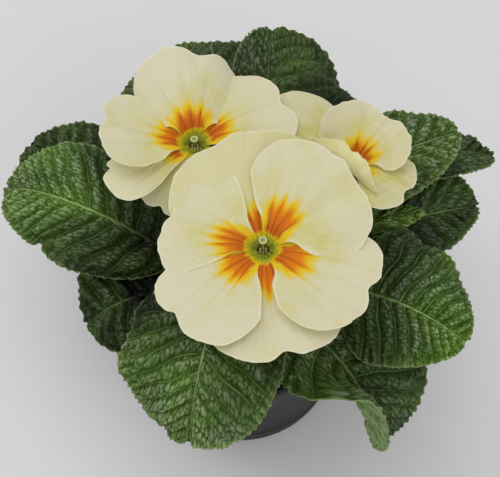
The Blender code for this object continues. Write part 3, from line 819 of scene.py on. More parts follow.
class Chance:
    """Repeatable random lumps over a plane."""

    def __init__(self, seed: int) -> None:
        """Fill the table of random numbers.

        Args:
            seed: Which table.
        """
        self.table = np.random.default_rng(seed).random((TABLE, TABLE, 3))

    def pick(self, i: np.ndarray, j: np.ndarray) -> np.ndarray:
        """Three random numbers for each square of a plane."""
        return self.table[i.astype(int) % TABLE, j.astype(int) % TABLE]

    def lumps(self, x: np.ndarray, y: np.ndarray) -> np.ndarray:
        """Smooth noise from -1 to 1 with lumps one unit wide.

        Args:
            x: First coordinate.
            y: Second coordinate.

        Returns:
            The noise at each point.
        """
        i, j = np.floor(x), np.floor(y)
        a, b = smooth(x - i), smooth(y - j)
        low = self.pick(i, j)[..., 0] * (1 - a) + self.pick(i + 1, j)[..., 0] * a
        high = self.pick(i, j + 1)[..., 0] * (1 - a) + self.pick(i + 1, j + 1)[..., 0] * a
        return 2 * (low * (1 - b) + high * b) - 1

    def cells(self, x: np.ndarray, y: np.ndarray, jitter: float) -> tuple:
        """Cells about one unit wide round scattered middles.

        Args:
            x: First coordinate.
            y: Second coordinate.
            jitter: How far the middles stray from a square grid.

        Returns:
            Distance to the nearest middle, to the next, and the cell's own random number.
        """
        near = np.full(x.shape, np.inf)
        later = np.full(x.shape, np.inf)
        mark = np.zeros(x.shape)
        for di in (-1, 0, 1):
            for dj in (-1, 0, 1):
                i, j = np.floor(x) + di, np.floor(y) + dj
                chance = self.pick(i, j)
                dx = i + 0.5 + jitter * (chance[..., 0] - 0.5) - x
                dy = j + 0.5 + jitter * (chance[..., 1] - 0.5) - y
                gap = np.hypot(dx, dy)
                closer = gap < near
                later = np.where(closer, near, np.minimum(later, gap))
                mark = np.where(closer, chance[..., 2], mark)
                near = np.where(closer, gap, near)
        return near, later, mark


class Piece:
    """Steps that every piece shares."""

    @staticmethod
    def clear() -> None:
        """Leave object mode's selection empty."""
        for other in bpy.context.selected_objects:
            other.select_set(False)

    @staticmethod
    def only(piece: bpy.types.Object) -> None:
        """Select a piece alone and make it the active one."""
        Piece.clear()
        bpy.context.view_layer.objects.active = piece
        piece.select_set(True)

    @staticmethod
    def name(piece: bpy.types.Object, name: str) -> bpy.types.Object:
        """Name a piece and its mesh, and return it."""
        piece.name = name
        piece.data.name = name
        return piece

    @staticmethod
    def places(piece: bpy.types.Object) -> np.ndarray:
        """Its vertices in millimetres."""
        return np.array([vertex.co for vertex in piece.data.vertices]) / MM

    @staticmethod
    def raw(name: str, points: list, edges: list, faces: list) -> bpy.types.Object:
        """Add a mesh made of lists.

        Args:
            name: The piece's name.
            points: Its vertices, in metres.
            edges: Pairs of vertex numbers.
            faces: The vertex numbers of each face.

        Returns:
            The object, selected alone.
        """
        mesh = bpy.data.meshes.new(name)
        mesh.from_pydata(points, edges, faces)
        piece = bpy.data.objects.new(name, mesh)
        bpy.context.collection.objects.link(piece)
        Piece.only(piece)
        return piece

    @staticmethod
    def sheet(name: str, columns: int, rows: int) -> tuple:
        """Add a flat grid to be bent into a sheet.

        Args:
            name: The piece's name.
            columns: Faces across.
            rows: Faces along.

        Returns:
            The object, and each vertex's row and column. Columns run leftwards, so that faces point up.
        """
        Piece.clear()
        bpy.ops.mesh.primitive_grid_add(x_subdivisions=columns, y_subdivisions=rows, size=2)
        piece = Piece.name(bpy.context.active_object, name)
        flat = np.zeros(len(piece.data.vertices) * 3)
        piece.data.vertices.foreach_get("co", flat)
        flat = flat.reshape(-1, 3)
        column = columns - np.rint((flat[:, 0] + 1) / 2 * columns).astype(int)
        row = np.rint((flat[:, 1] + 1) / 2 * rows).astype(int)
        return piece, row, column

    @staticmethod
    def put(piece: bpy.types.Object, points: np.ndarray) -> None:
        """Move a piece's vertices to points in millimetres."""
        piece.data.vertices.foreach_set("co", (points * MM).astype(np.float32).ravel())
        piece.data.update()

    @staticmethod
    def note(piece: bpy.types.Object, name: str, values: np.ndarray) -> None:
        """Keep a number at each vertex for the material to read."""
        attribute = piece.data.attributes.new(name, "FLOAT", "POINT")
        attribute.data.foreach_set("value", np.asarray(values, np.float32).ravel())

    @staticmethod
    def note_under(piece: bpy.types.Object, count: int) -> None:
        """Mark the underside of a thickened sheet.

        Args:
            piece: The sheet.
            count: How many vertices it had before, which are now its upper side.
        """
        under = np.zeros(len(piece.data.vertices))
        under[count:] = 1.0
        Piece.note(piece, "under", under)

    @staticmethod
    def thicken(piece: bpy.types.Object, thickness: float, offset: float) -> None:
        """Give a sheet its thickness.

        Args:
            piece: The sheet.
            thickness: In millimetres.
            offset: -1 grows it below its face, 0 on both sides.
        """
        Piece.only(piece)
        solid = piece.modifiers.new("Thickness", "SOLIDIFY")
        solid.thickness = thickness * MM
        solid.offset = offset
        solid.use_quality_normals = True
        if piece.vertex_groups:
            solid.vertex_group = piece.vertex_groups[0].name
            solid.thickness_vertex_group = 0.0
        bpy.ops.object.modifier_apply(modifier=solid.name)

    @staticmethod
    def join(pieces: list, name: str) -> bpy.types.Object:
        """Join objects into one.

        Args:
            pieces: The objects.
            name: The joined object's name.

        Returns:
            The joined object.
        """
        Piece.only(pieces[0])
        for piece in pieces[1:]:
            piece.select_set(True)
        bpy.ops.object.join()
        return Piece.name(bpy.context.active_object, name)

    @staticmethod
    def turned(name: str, profile: list, steps: int, closed: bool = False) -> bpy.types.Object:
        """Spin a profile round Z.

        Args:
            name: The piece's name.
            profile: Radius and height of each corner, in millimetres.
            steps: Faces round.
            closed: Whether the profile's ends meet, as in a ring.

        Returns:
            The turned object.
        """
        edges = [(i, i + 1) for i in range(len(profile) - 1)]
        if closed:
            edges.append((len(profile) - 1, 0))
        piece = Piece.raw(name, [(radius * MM, 0, height * MM) for radius, height in profile], edges, [])
        bpy.ops.object.mode_set(mode="EDIT")
        bpy.ops.mesh.select_all(action="SELECT")
        bpy.ops.mesh.spin(steps=steps, angle=math.tau, center=(0, 0, 0), axis=(0, 0, 1))
        bpy.ops.mesh.select_all(action="SELECT")
        bpy.ops.mesh.remove_doubles(threshold=0.005 * MM)
        bpy.ops.mesh.normals_make_consistent(inside=False)
        bpy.ops.object.mode_set(mode="OBJECT")
        return piece

    @staticmethod
    def shell(name: str, points: np.ndarray, faces: list) -> bpy.types.Object:
        """A closed mesh with its faces turned outwards.

        Args:
            name: The piece's name.
            points: Its vertices in millimetres.
            faces: The vertex numbers of each face.

        Returns:
            The object.
        """
        piece = Piece.raw(name, (points * MM).tolist(), [], faces)
        bpy.ops.object.mode_set(mode="EDIT")
        bpy.ops.mesh.select_all(action="SELECT")
        bpy.ops.mesh.normals_make_consistent(inside=False)
        bpy.ops.object.mode_set(mode="OBJECT")
        return piece

    @staticmethod
    def rounded(profile: list, radius: float = 0.5, steps: int = 3) -> list:
        """Round off a profile's corners.

        Args:
            profile: Radius and height of each corner, in millimetres.
            radius: How far from a corner its curve starts.
            steps: Points on each curve.

        Returns:
            The rounded profile.
        """
        points = [np.array(point, float) for point in profile]
        result = [points[0]]
        for before, corner, after in zip(points, points[1:], points[2:]):
            back, forth = before - corner, after - corner
            reach = min(radius, np.linalg.norm(back) * 0.45, np.linalg.norm(forth) * 0.45)
            start = corner + back / np.linalg.norm(back) * reach
            end = corner + forth / np.linalg.norm(forth) * reach
            for step in range(steps + 1):
                t = step / steps
                result.append(start * (1 - t) ** 2 + corner * 2 * t * (1 - t) + end * t ** 2)
        result.append(points[-1])
        return [tuple(point) for point in result]

    @staticmethod
    def dress(piece: bpy.types.Object, material: bpy.types.Material, slot: Slot, *nodes: str) -> None:
        """Finish a piece and set it in the frame.

        Args:
            piece: The finished mesh.
            material: Its material.
            slot: The piece's material slot; not used.
            nodes: The CAD nodes that it stands for.
        """
        piece.data.materials.clear()
        piece.data.materials.append(material)
        Piece.only(piece)
        bpy.ops.object.shade_smooth_by_angle(angle=math.radians(SMOOTH_ANGLE))
        Piece.clear()
        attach(piece, BODY)
        if nodes:
            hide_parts(*nodes)
        LOG.info("%s: %d faces", piece.name, len(piece.data.polygons))


@dataclass
class Leaf:
    """A leaf with its stalk, net of veins, puffed cells and scalloped edge.

    Attributes:
        plan: Its plan.
        seed: Which table of random numbers it uses.
        wing: Half the stalk's width.
        tip_share: Share of the blade at which its mesh ends.
        bend_reach: Share of the length over which it bends.
        base_taper: How full its outline is from the base to the widest place.
        tip_taper: How full it is from there to the tip.
        slant: How far the side veins lean towards the tip.
        notch_width: Width of a notch, as a share of the blade.
        stalk_step: Spacing of the stalk's mesh.
        crowding: How much the middle columns of its mesh are drawn together.
        pleat: Height of the rolls between side veins.
        puff: Height of the puffs.
        cell: Width of a puff.
        cell_rows: Puffs from one side vein to the next.
        jitter: How irregular the puffs are.
        border: Width of the furrows between puffs, as a share of one.
        valley: Width of the furrow along a side vein.
        rib_base: Half the rib's width at the base.
        rib_tip: Half its width at the tip.
        rib_lift: Height of the rib.
        swell: Height of broad lumps.
        dimple: Height of fine lumps.
        scallop: Width of a scallop of the edge.
        scallop_depth: Depth of the cuts between scallops.
        ruffle: Swing of the edge's small waves.
        blade_thickness: Thickness of the blade.
        stalk_thickness: Thickness of the stalk.
        chance: Its table of random numbers.
    """

    plan: LeafPlan
    seed: int
    wing: float = 1.7
    tip_share: float = 0.985
    bend_reach: float = 0.9
    base_taper: float = 0.72
    tip_taper: float = 0.54
    slant: float = 0.85
    notch_width: float = 0.035
    stalk_step: float = 0.9
    crowding: float = 0.95
    pleat: float = 1.65
    puff: float = 0.58
    cell: float = 1.2
    cell_rows: float = 2.25
    jitter: float = 0.95
    border: float = 0.42
    valley: float = 0.65
    rib_base: float = 0.95
    rib_tip: float = 0.08
    rib_lift: float = 0.15
    swell: float = 0.5
    dimple: float = 0.2
    scallop: float = 2.4
    scallop_depth: float = 0.65
    ruffle: float = 0.7
    blade_thickness: float = 0.4
    stalk_thickness: float = 2.2
    chance: Chance = field(init=False)

    def __post_init__(self) -> None:
        """Make the leaf's own randomness."""
        self.chance = Chance(self.seed)

    def rib(self) -> tuple:
        """The rib's course through space.

        Returns:
            Arc lengths, points, tangents and headings along the rib.
        """
        plan = self.plan
        share = np.linspace(0, 1, CURVE_STEPS)
        ease = smooth((share - plan.bend + self.bend_reach / 2) / self.bend_reach)
        pitch = np.radians(plan.rise + (plan.droop - plan.rise) * ease)
        heading = np.radians(plan.heading + plan.sweep * share)
        flat = np.cos(pitch)
        tangent = np.stack([flat * np.cos(heading), flat * np.sin(heading), np.sin(pitch)], -1)
        length = plan.stalk + plan.blade
        steps = (tangent[1:] + tangent[:-1]) / 2 * length / (CURVE_STEPS - 1)
        start = np.array([plan.foot[0], plan.foot[1], SOIL_HEIGHT])
        points = start + np.vstack([np.zeros(3), np.cumsum(steps, 0)])
        return share * length, points, tangent, heading

    def half_width(self, share: np.ndarray) -> np.ndarray:
        """Half the blade's width.

        Args:
            share: Share of its length.

        Returns:
            Millimetres from the rib to the edge.
        """
        widest = self.plan.widest
        power = math.log(0.5) / math.log(widest)
        bulge = np.clip(np.sin(math.pi * np.clip(share, 0, 1) ** power), 0, 1)
        full = np.where(share < widest, bulge ** self.base_taper, bulge ** self.tip_taper)
        return self.plan.width / 2 * full

    def layout(self, u: np.ndarray, v: np.ndarray) -> tuple:
        """Lay the blade out flat.

        Args:
            u: Share of the way from base to tip, along the rib.
            v: From one edge at -1 to the other at 1.

        Returns:
            Millimetres along the leaf and across it, and the half width there.
        """
        plan = self.plan
        slant = self.slant * u * (1 - u)
        reach = u + slant * np.abs(v) ** 1.15
        margin = u + slant
        wing = self.wing * (1 - margin) ** 2
        width = np.hypot(self.half_width(margin), wing) * (1 + plan.lean * np.sign(v))
        for place, side, depth in plan.notches:
            cut = np.exp(-((margin - place) / self.notch_width) ** 2)
            width = width * (1 - depth * cut * (np.sign(v) == side))
        return plan.stalk + plan.blade * reach, width * v, width

    def slope(self, share: np.ndarray, side: np.ndarray, size: np.ndarray, own: np.ndarray) -> np.ndarray:
        """Slope of the blade's cross section.

        Args:
            share: Share of the blade's length.
            side: 1 on the left and -1 on the right.
            size: Millimetres from the rib.
            own: Share of the half width there.

        Returns:
            Degrees by which it rises outwards.
        """
        plan = self.plan
        q = size / (plan.width / 2)
        angle = plan.fold * (1 - smooth(q / 0.5)) - plan.recurve * q ** 1.4
        ripple = np.sin(2 * math.pi * plan.waves * share + plan.phase + np.where(side > 0, 0.0, 2.2))
        angle = angle + 1.4 * plan.wave * ripple * q ** 1.3
        curl_side, curl_start, curl_angle = plan.curl
        curled = smooth((own - 0.09) / 0.29) * smooth((share - curl_start) / 0.25) * (side == curl_side)
        return (angle + curl_angle * curled) * smooth(share * 4)

    def bend(self, along: np.ndarray, across: np.ndarray, width: np.ndarray) -> np.ndarray:
        """Bend flat places into space.

        Args:
            along: Millimetres along the leaf.
            across: Millimetres across it, from the rib.
            width: Half its width there.

        Returns:
            Points in millimetres.
        """
        plan = self.plan
        arc, points, tangent, heading = self.rib()
        place = np.stack([np.interp(along, arc, points[:, i]) for i in range(3)], -1)
        forward = np.stack([np.interp(along, arc, tangent[:, i]) for i in range(3)], -1)
        forward /= np.linalg.norm(forward, axis=-1, keepdims=True)
        turn = np.interp(along, arc, heading)
        level = np.stack([-np.sin(turn), np.cos(turn), 0 * turn], -1)
        share = np.clip((along - plan.stalk) / plan.blade, 0, 1)
        roll = (math.radians(plan.roll) * smooth(share * 1.6))[..., None]
        side = level * np.cos(roll) + np.cross(forward, level) * np.sin(roll)
        normal = np.cross(forward, side)
        sign = np.where(across < 0, -1.0, 1.0)
        size = np.abs(across)
        out = np.zeros_like(size)
        up = np.zeros_like(size)
        for step in range(SECTION_STEPS):
            part = (step + 0.5) / SECTION_STEPS
            own = size * part / np.maximum(width, 0.5)
            angle = np.radians(self.slope(share, sign, size * part, own))
            out += np.cos(angle) * size / SECTION_STEPS
            up += np.sin(angle) * size / SECTION_STEPS
        return place + side * (sign * out)[..., None] + normal * up[..., None]

    def net(self, u: np.ndarray, v: np.ndarray, across: np.ndarray, width: np.ndarray) -> dict:
        """The blade's veins and puffs.

        Args:
            u: Share of the way from base to tip.
            v: Share of the way from rib to edge, with its side's sign.
            across: Millimetres from the rib.
            width: Half width there, in millimetres.

        Returns:
            The height in millimetres, and what the finish reads.
        """
        plan, lumps = self.plan, self.chance.lumps
        side = np.where(v < 0, 1.0, 0.0)
        size, outer = np.abs(across), np.abs(v)
        count = plan.veins
        gap = plan.blade / count * 0.8
        # The side veins stand at whole phases, and each forks near the edge
        wander = lumps(size / 7 + 9 * side, u * count * 0.8 + 3)
        phase = count * (u * 0.82 + 0.18 * u * u) + 0.4 * side + 0.22 * wander
        off = np.abs(phase - np.rint(phase)) * gap
        fork = np.abs(phase + 0.5 - np.rint(phase + 0.5)) * gap
        forked = smooth((outer - 0.6) / 0.25)
        valley = np.minimum(off, fork + (1 - forked) * gap)
        crest = smooth(valley / (gap * 0.4))
        # Irregular puffs fill the rolls between them
        warp = lumps(size * 0.55 + 5, phase * gap * 0.55 + 30 * side)
        twist = lumps(size * 0.5 + 15, phase * gap * 0.5 + 60 * side)
        row = phase * self.cell_rows + 0.35 * warp + 17 * side
        near, later, mark = self.chance.cells(row, size / self.cell + 0.5 * twist, self.jitter)
        border = smooth((later - near) / self.border)
        puffed = border * (1 - 0.45 * near) * smooth(valley / self.valley)
        height = self.pleat * (crest - 0.55) + self.puff * puffed * (0.6 + 0.8 * mark)
        height += self.dimple * lumps(size * 0.9, phase * gap * 0.9 + 40 * side)
        height += self.swell * lumps(size * 0.22 + 20, phase * gap * 0.22 + 50 * side)
        # They fade towards the rib, the base and the edge
        open_blade = smooth(size / 1.3) * smooth(u * 14) * (1 - 0.4 * smooth((outer - 0.8) / 0.2))
        rib = size / np.maximum(self.rib_base * (1 - u) + self.rib_tip, 0.1)
        return {
            "height": height * open_blade + self.rib_lift * (1 - smooth(rib - 0.3)),
            "puff": np.clip(puffed * 1.4 * smooth(size / 1.2) * (0.5 + 0.8 * mark), 0, 1),
            "edge": 1 - smooth((1 - outer) * width / 0.7),
            "lateral": phase,
            "gap": gap + 0 * u,
            "faint": (1 - 0.5 * outer) * smooth(u * 10),
            "rib": rib,
        }

    def greens(self, u: np.ndarray, v: np.ndarray, width: np.ndarray) -> dict:
        """How much yellower, lighter green the leaf has, and its painted light and shade.

        Args:
            u: Share of the way from base to tip.
            v: Share of the way from rib to edge, with its side's sign.
            width: Half width there, in millimetres.

        Returns:
            What the finish reads.
        """
        plan = self.plan
        tip = smooth((u - 0.45) / 0.5)
        rim = 1 - smooth((1 - np.abs(v)) * width / 6)
        # A yellower, lighter green towards the tip and edge: partly the leaf's own colour and partly painted
        # light
        yellow_green_and_painted_light = plan.yellow_green_and_painted_light + 0.4 * tip + 0.35 * rim + 0.4 * self.chance.lumps(u * 5, v * 3)
        # Painted light and shade: dark at the blade's base, where the flowers shade it, lighter further out,
        # less light at the tip by the plan's share, with random lumps
        tone = plan.tone * (plan.painted_shade_at_base + (1 - plan.painted_shade_at_base) * smooth((u - 0.17) / 0.45))
        tone = tone * (1 - plan.fade * smooth((u - 0.6) / 0.35))
        return {"yellow_green_and_painted_light": np.clip(yellow_green_and_painted_light, 0, 1), "tone": tone + 0.22 * self.chance.lumps(u * 6, v * 2 + 9)}

    def scalloped(self, u: np.ndarray, v: np.ndarray, along: np.ndarray, width: np.ndarray) -> np.ndarray:
        """How far the scalloped edge stands out.

        Args:
            u: Share of the way from base to tip.
            v: Share of the way from rib to edge, with its side's sign.
            along: Millimetres along the leaf.
            width: Half width there, in millimetres.

        Returns:
            Millimetres across the leaf.
        """
        tooth = np.abs(np.sin(math.pi * (along - self.plan.stalk) / self.scallop)) ** 0.6 - 1
        tooth = tooth * (1 + 0.4 * self.chance.lumps(along / 5, 30 + np.sign(v)))
        reach = self.scallop_depth * tooth * smooth((np.abs(v) - 0.85) / 0.15) * smooth(u * 8)
        return np.sign(v) * reach * smooth(width / 4)

    def build(self, material: bpy.types.Material) -> None:
        """Model the leaf and set it in the frame.

        Args:
            material: The leaf's finish.
        """
        plan = self.plan
        columns = int(plan.width / plan.mesh)
        stalk_rows = int(plan.stalk / self.stalk_step)
        blade_rows = int(plan.blade * 1.05 / plan.mesh)
        piece, row, column = Piece.sheet(plan.name + "_fine", columns, stalk_rows + blade_rows)
        even = np.linspace(-1, 1, columns + 1)
        v = (np.sign(even) * np.abs(even) ** self.crowding)[None, :]
        u = np.linspace(0, self.tip_share, blade_rows + 1)[:, None]
        u, wide = u + 0 * v, v + 0 * u
        along, across, width = self.layout(u, wide)
        notes = self.net(u, wide, across, width) | self.greens(u, wide, width)
        across = across + self.scalloped(u, wide, along, width)
        stem = np.linspace(0, plan.stalk, stalk_rows, endpoint=False)[:, None] + 0 * v
        points = self.bend(
            np.vstack([stem, along]),
            np.vstack([self.wing * v + 0 * stem, across]),
            np.vstack([self.wing + 0 * stem, width]),
        )
        ruffle = self.chance.lumps(along / 4.5, 50 + 2 * np.sign(wide)) * smooth((np.abs(wide) - 0.5) / 0.5)
        lift = np.vstack([0 * stem, notes.pop("height") + ruffle * self.ruffle * smooth(u * 6)])
        normals = grid_normals(points)
        points = points + normals * lift[..., None]
        mix = np.vstack([0 * stem, smooth(u / 0.15)])
        round_stalk = 0.35 + 0.65 * (1 - (v + 0 * points[..., 0]) ** 2)
        thickness = round_stalk * (1 - mix) + self.blade_thickness / self.stalk_thickness * mix
        self.weigh(piece, thickness[row, column])
        Piece.put(piece, points[row, column])
        # The stalk's part of the sheet takes fixed values, a fixed painted shade among them
        on_stalk = {"puff": 0.5, "yellow_green_and_painted_light": 0.2, "gap": 3.0, "lateral": 0.5, "rib": 0.6, "tone": 0.8}
        for name, values in notes.items():
            whole = np.vstack([0 * stem + on_stalk.get(name, 0.0), values])
            Piece.note(piece, name, whole[row, column])
        Piece.thicken(piece, self.stalk_thickness, -1.0)
        Piece.note_under(piece, len(row))
        Piece.dress(piece, material, Slot.LEAF, plan.name)

    def weigh(self, piece: bpy.types.Object, weights: np.ndarray) -> None:
        """Say how thick the leaf is.

        Args:
            piece: The sheet that is to be thickened.
            weights: The share of the stalk's thickness at each vertex.
        """
        group = piece.vertex_groups.new(name="thickness")
        weights = np.round(weights, 2)
        for weight in np.unique(weights):
            group.add(np.flatnonzero(weights == weight).tolist(), float(weight), "REPLACE")


@dataclass
class Flower:
    """A primrose flower: its corolla, stalk with calyx, ring of stamens and pistil.

    Attributes:
        plan: Its plan.
        seed: Which table of random numbers it uses.
        throat: Radius at which the lobes start.
        petal_thickness: Thickness of a lobe.
        reach: Sideways distance over which a lobe's section is shaped.
        free_radius: Radius beyond which the lobes are cupped and waved.
        eye_radius: Radius of the funnel round the throat.
        eye_pitch: How much steeper the lobes rise in it.
        eye_fan: How far each lobe fans out in it.
        tube_outer: The tube's outer radius.
        tube_inner: Its inner radius.
        collar: Radius of the collar that the lobes grow from.
        crease: Height of the broad radial creases.
        thread: Height of the fine ones.
        frill: Height of the frill at the rim.
        scape_radius: The stalk's radius.
        style_radius: The style's radius.
        stigma_radius: The stigma's radius.
        anthers: How many anthers it has.
        anther_shape: An anther's half width, half depth and half height.
        anther_place: Its distance from the middle, and its height.
        anther_lean: How far it leans outwards.
        columns: Mesh squares across a lobe.
        rows: Mesh squares along a lobe.
        sides: Faces round the stalk.
        path_steps: Rings along the stalk.
        hair_count: Hairs on the stalk and calyx.
        hair_length: Their length.
        hair_width: How thick they are at the root.
        chance: Its table of random numbers.
    """

    plan: FlowerPlan
    seed: int
    throat: float = 2.5
    petal_thickness: float = 0.22
    reach: float = 18.0
    free_radius: float = 5.0
    eye_radius: float = 5.5
    eye_pitch: float = 28.0
    eye_fan: float = 37.0
    tube_outer: float = 2.4
    tube_inner: float = 1.8
    collar: float = 3.2
    crease: float = 0.34
    thread: float = 0.07
    frill: float = 0.55
    scape_radius: float = 1.3
    style_radius: float = 0.4
    stigma_radius: float = 1.1
    anthers: int = 6
    anther_shape: tuple = (0.36, 0.46, 1.15)
    anther_place: tuple = (1.08, -1.35)
    anther_lean: float = -14.0
    columns: int = 64
    rows: int = 46
    sides: int = 60
    path_steps: int = 40
    hair_count: int = 420
    hair_length: float = 0.9
    hair_width: float = 0.045
    chance: Chance = field(init=False)

    def __post_init__(self) -> None:
        """Make the flower's own randomness."""
        self.chance = Chance(self.seed)

    def axes(self) -> tuple:
        """The flower's own directions.

        Returns:
            Unit vectors: two across its face, and the one that it faces along.
        """
        lean, toward = math.radians(self.plan.lean), math.radians(self.plan.toward)
        sideways = math.sin(lean)
        face = np.array([sideways * math.cos(toward), sideways * math.sin(toward), math.cos(lean)])
        first = np.array([1.0, 0, 0]) - face * face[0]
        first /= np.linalg.norm(first)
        return first, np.cross(face, first), face

    def matrix(self) -> Matrix:
        """The turn and move from the origin to the flower's mouth, in metres."""
        turn = Matrix(self.axes()).transposed().to_4x4()
        return Matrix.Translation(Vector(self.plan.mouth) * MM) @ turn

    def profile(self, lobe: LobePlan, along: np.ndarray) -> tuple:
        """The course of a lobe's middle line.

        Args:
            lobe: The lobe's plan.
            along: Millimetres along it, from the flower's middle.

        Returns:
            Outward distance and height in millimetres, and pitch in radians.
        """
        steps = np.linspace(0, lobe.length + 2, CURVE_STEPS)
        share = (steps - self.eye_radius) / (lobe.length - self.eye_radius)
        pitch = lobe.rise + (lobe.tip - lobe.rise) * smooth(share)
        pitch = np.radians(pitch + self.eye_pitch * np.clip(1 - steps / self.eye_radius, 0, 1))
        width = steps[1]
        out = np.concatenate([[0], np.cumsum((np.cos(pitch[1:]) + np.cos(pitch[:-1])) / 2 * width)])
        up = np.concatenate([[0], np.cumsum((np.sin(pitch[1:]) + np.sin(pitch[:-1])) / 2 * width)])
        height = np.interp(along, steps, up) - np.interp(self.throat, steps, up)
        outward = self.throat + np.interp(along, steps, out) - np.interp(self.throat, steps, out)
        return outward, height, np.interp(along, steps, pitch)

    def section(
        self, lobe: LobePlan, rho: np.ndarray, t: np.ndarray, radius: np.ndarray, across: np.ndarray,
    ) -> tuple:
        """A lobe's cross section.

        Args:
            lobe: The lobe's plan.
            rho: From the throat at 0 to the rim at 1.
            t: From the right side at -1 to the left at 1.
            radius: Millimetres from the flower's middle.
            across: Millimetres to the left of the lobe's middle line, laid flat.

        Returns:
            Millimetres to the left, and upwards.
        """
        sign = np.where(across < 0, -1.0, 1.0)
        size = np.abs(across)
        spread = np.zeros_like(size)
        lift = np.zeros_like(size)
        curl_side, curl_start, curl_angle = lobe.curl
        free = smooth((radius - self.free_radius) / 8)
        curling = smooth((rho - curl_start) / 0.3) * (sign == curl_side)
        for step in range(SECTION_STEPS):
            part = (step + 0.5) / SECTION_STEPS
            q = size * part / self.reach
            ripple = np.sin(2 * math.pi * lobe.waves * q + lobe.phase + np.where(sign > 0, 0, 1.7))
            angle = lobe.cup * np.clip(q * 1.5, 0, 1.4) + lobe.wave * ripple * np.clip(q * 2, 0, 1)
            angle = angle + curl_angle * smooth((np.abs(t) * part - 0.35) / 0.5) * curling
            angle = np.radians(angle) * free
            spread += np.cos(angle) * size / SECTION_STEPS
            lift += np.sin(angle) * size / SECTION_STEPS
        return sign * spread, lift + lobe.layer * smooth((radius - 3.5) / 5)

    def lobe_points(self, lobe: LobePlan, number: int, rho: np.ndarray, t: np.ndarray) -> tuple:
        """Points of a lobe, with the flat angle and radius of each.

        Args:
            lobe: The lobe's plan.
            number: Its place in the flower.
            rho: From the throat at 0 to the rim at 1.
            t: From the right side at -1 to the left at 1.

        Returns:
            Points in millimetres, angles in degrees and radii in millimetres.
        """
        fan = np.where(t > 0, lobe.left, lobe.right)
        degrees = t * (self.eye_fan + (fan - self.eye_fan) * smooth(rho * 1.5))
        angle = np.radians(degrees)
        # The rim, with its corners, notch and uneven edge
        rim = lobe.length * (1 - lobe.corner * t ** 4 - 0.03 * t ** 2)
        rim = rim - lobe.notch * np.exp(-((t - lobe.notch_at) / 0.13) ** 2)
        rim = rim + 0.35 * self.chance.lumps(degrees / 6, number * 7 + 0 * t)
        rim = rim + 0.12 * self.chance.lumps(degrees / 1.8, number * 7 + 3 + 0 * t)
        radius = self.throat + rho * (rim - self.throat)
        # Near the eye it is part of a funnel, and further out a bent sheet
        mix = smooth((radius - 4) / 8)
        along = radius * (1 - mix) + radius * np.cos(angle) * mix
        out, height, pitch = self.profile(lobe, along)
        shrink = out / np.maximum(along, 1e-6)
        out = shrink * radius * np.cos(angle) * (1 - mix) + out * mix
        spread, lift = self.section(lobe, rho, t, radius, radius * np.sin(angle))
        lift = lift + self.crimp(number, degrees, radius, rho)
        first, second, face = self.axes()
        turn = math.radians(lobe.turn)
        outward = first * math.cos(turn) + second * math.sin(turn)
        sideways = second * math.cos(turn) - first * math.sin(turn)
        outward = (out - np.sin(pitch) * lift)[..., None] * outward
        upward = (height + np.cos(pitch) * lift)[..., None] * face
        points = np.array(self.plan.mouth) + outward + spread[..., None] * sideways + upward
        return points, degrees, radius

    def crimp(self, number: int, degrees: np.ndarray, radius: np.ndarray, rho: np.ndarray) -> np.ndarray:
        """Fine radial creases and a soft frill at the rim.

        Args:
            number: The lobe's place in the flower.
            degrees: Flat angle from its middle line.
            radius: Millimetres from the flower's middle.
            rho: From the throat at 0 to the rim at 1.

        Returns:
            Heights in millimetres.
        """
        lumps = self.chance.lumps
        far = smooth((radius - 7) / 14)
        crease = lumps(degrees / 8, radius / 26 + 5 * number) * self.crease
        thread = lumps(degrees / 2.6, radius / 22 + 11 * number) * self.thread
        frill = lumps(degrees / 11, 2.5 * rho + 17 * number) * self.frill * smooth((rho - 0.7) / 0.3)
        return (crease + thread) * far + frill

    def build_corolla(self, material: bpy.types.Material) -> None:
        """Model the tube and lobes, and set them in the frame.

        Args:
            material: The petals' finish.
        """
        parts = []
        rho = np.linspace(0, 1, self.rows + 1)[:, None]
        t = np.linspace(-1, 1, self.columns + 1)[None, :]
        rho, t = rho + 0 * t, t + 0 * rho
        for number, lobe in enumerate(self.plan.lobes):
            piece, row, column = Piece.sheet("lobe", self.columns, self.rows)
            points, degrees, radius = self.lobe_points(lobe, number, rho, t)
            Piece.put(piece, points[row, column])
            notes = {
                "angle": (degrees - lobe.arm) / lobe.spread,
                "radius": radius,
                "number": np.full_like(rho, number + self.seed * 1.7),
                "ray": np.full_like(rho, lobe.ray),
                # Distance to the rim, where the painted highlight lies
                "painted_highlight_brim": np.minimum((1 - rho) * lobe.length, (1 - np.abs(t)) * radius * 0.7),
                "warm": np.full_like(rho, lobe.warm),
            }
            for name, values in notes.items():
                Piece.note(piece, name, values[row, column])
            Piece.thicken(piece, self.petal_thickness, 0.0)
            Piece.note_under(piece, len(row))
            parts.append(piece)
        parts.append(self.tube())
        corolla = Piece.join(parts, "corolla_" + self.plan.name + "_fine")
        Piece.dress(corolla, material, Slot.PETAL, "corolla_" + self.plan.name)

    def tube(self) -> bpy.types.Object:
        """Model the corolla's tube with the collar that its lobes grow from.

        Returns:
            The tube.
        """
        profile = [
            (self.tube_inner, -self.plan.tube),
            (self.tube_inner, 0.1),
            (self.tube_inner + 0.3, 0.35),
            (self.collar, 0.5),
            (self.collar, -0.4),
            (self.tube_outer, -2),
            (self.tube_outer, -self.plan.tube),
        ]
        piece = Piece.turned("tube", profile, 48, closed=True)
        x, y, height = Piece.places(piece).T
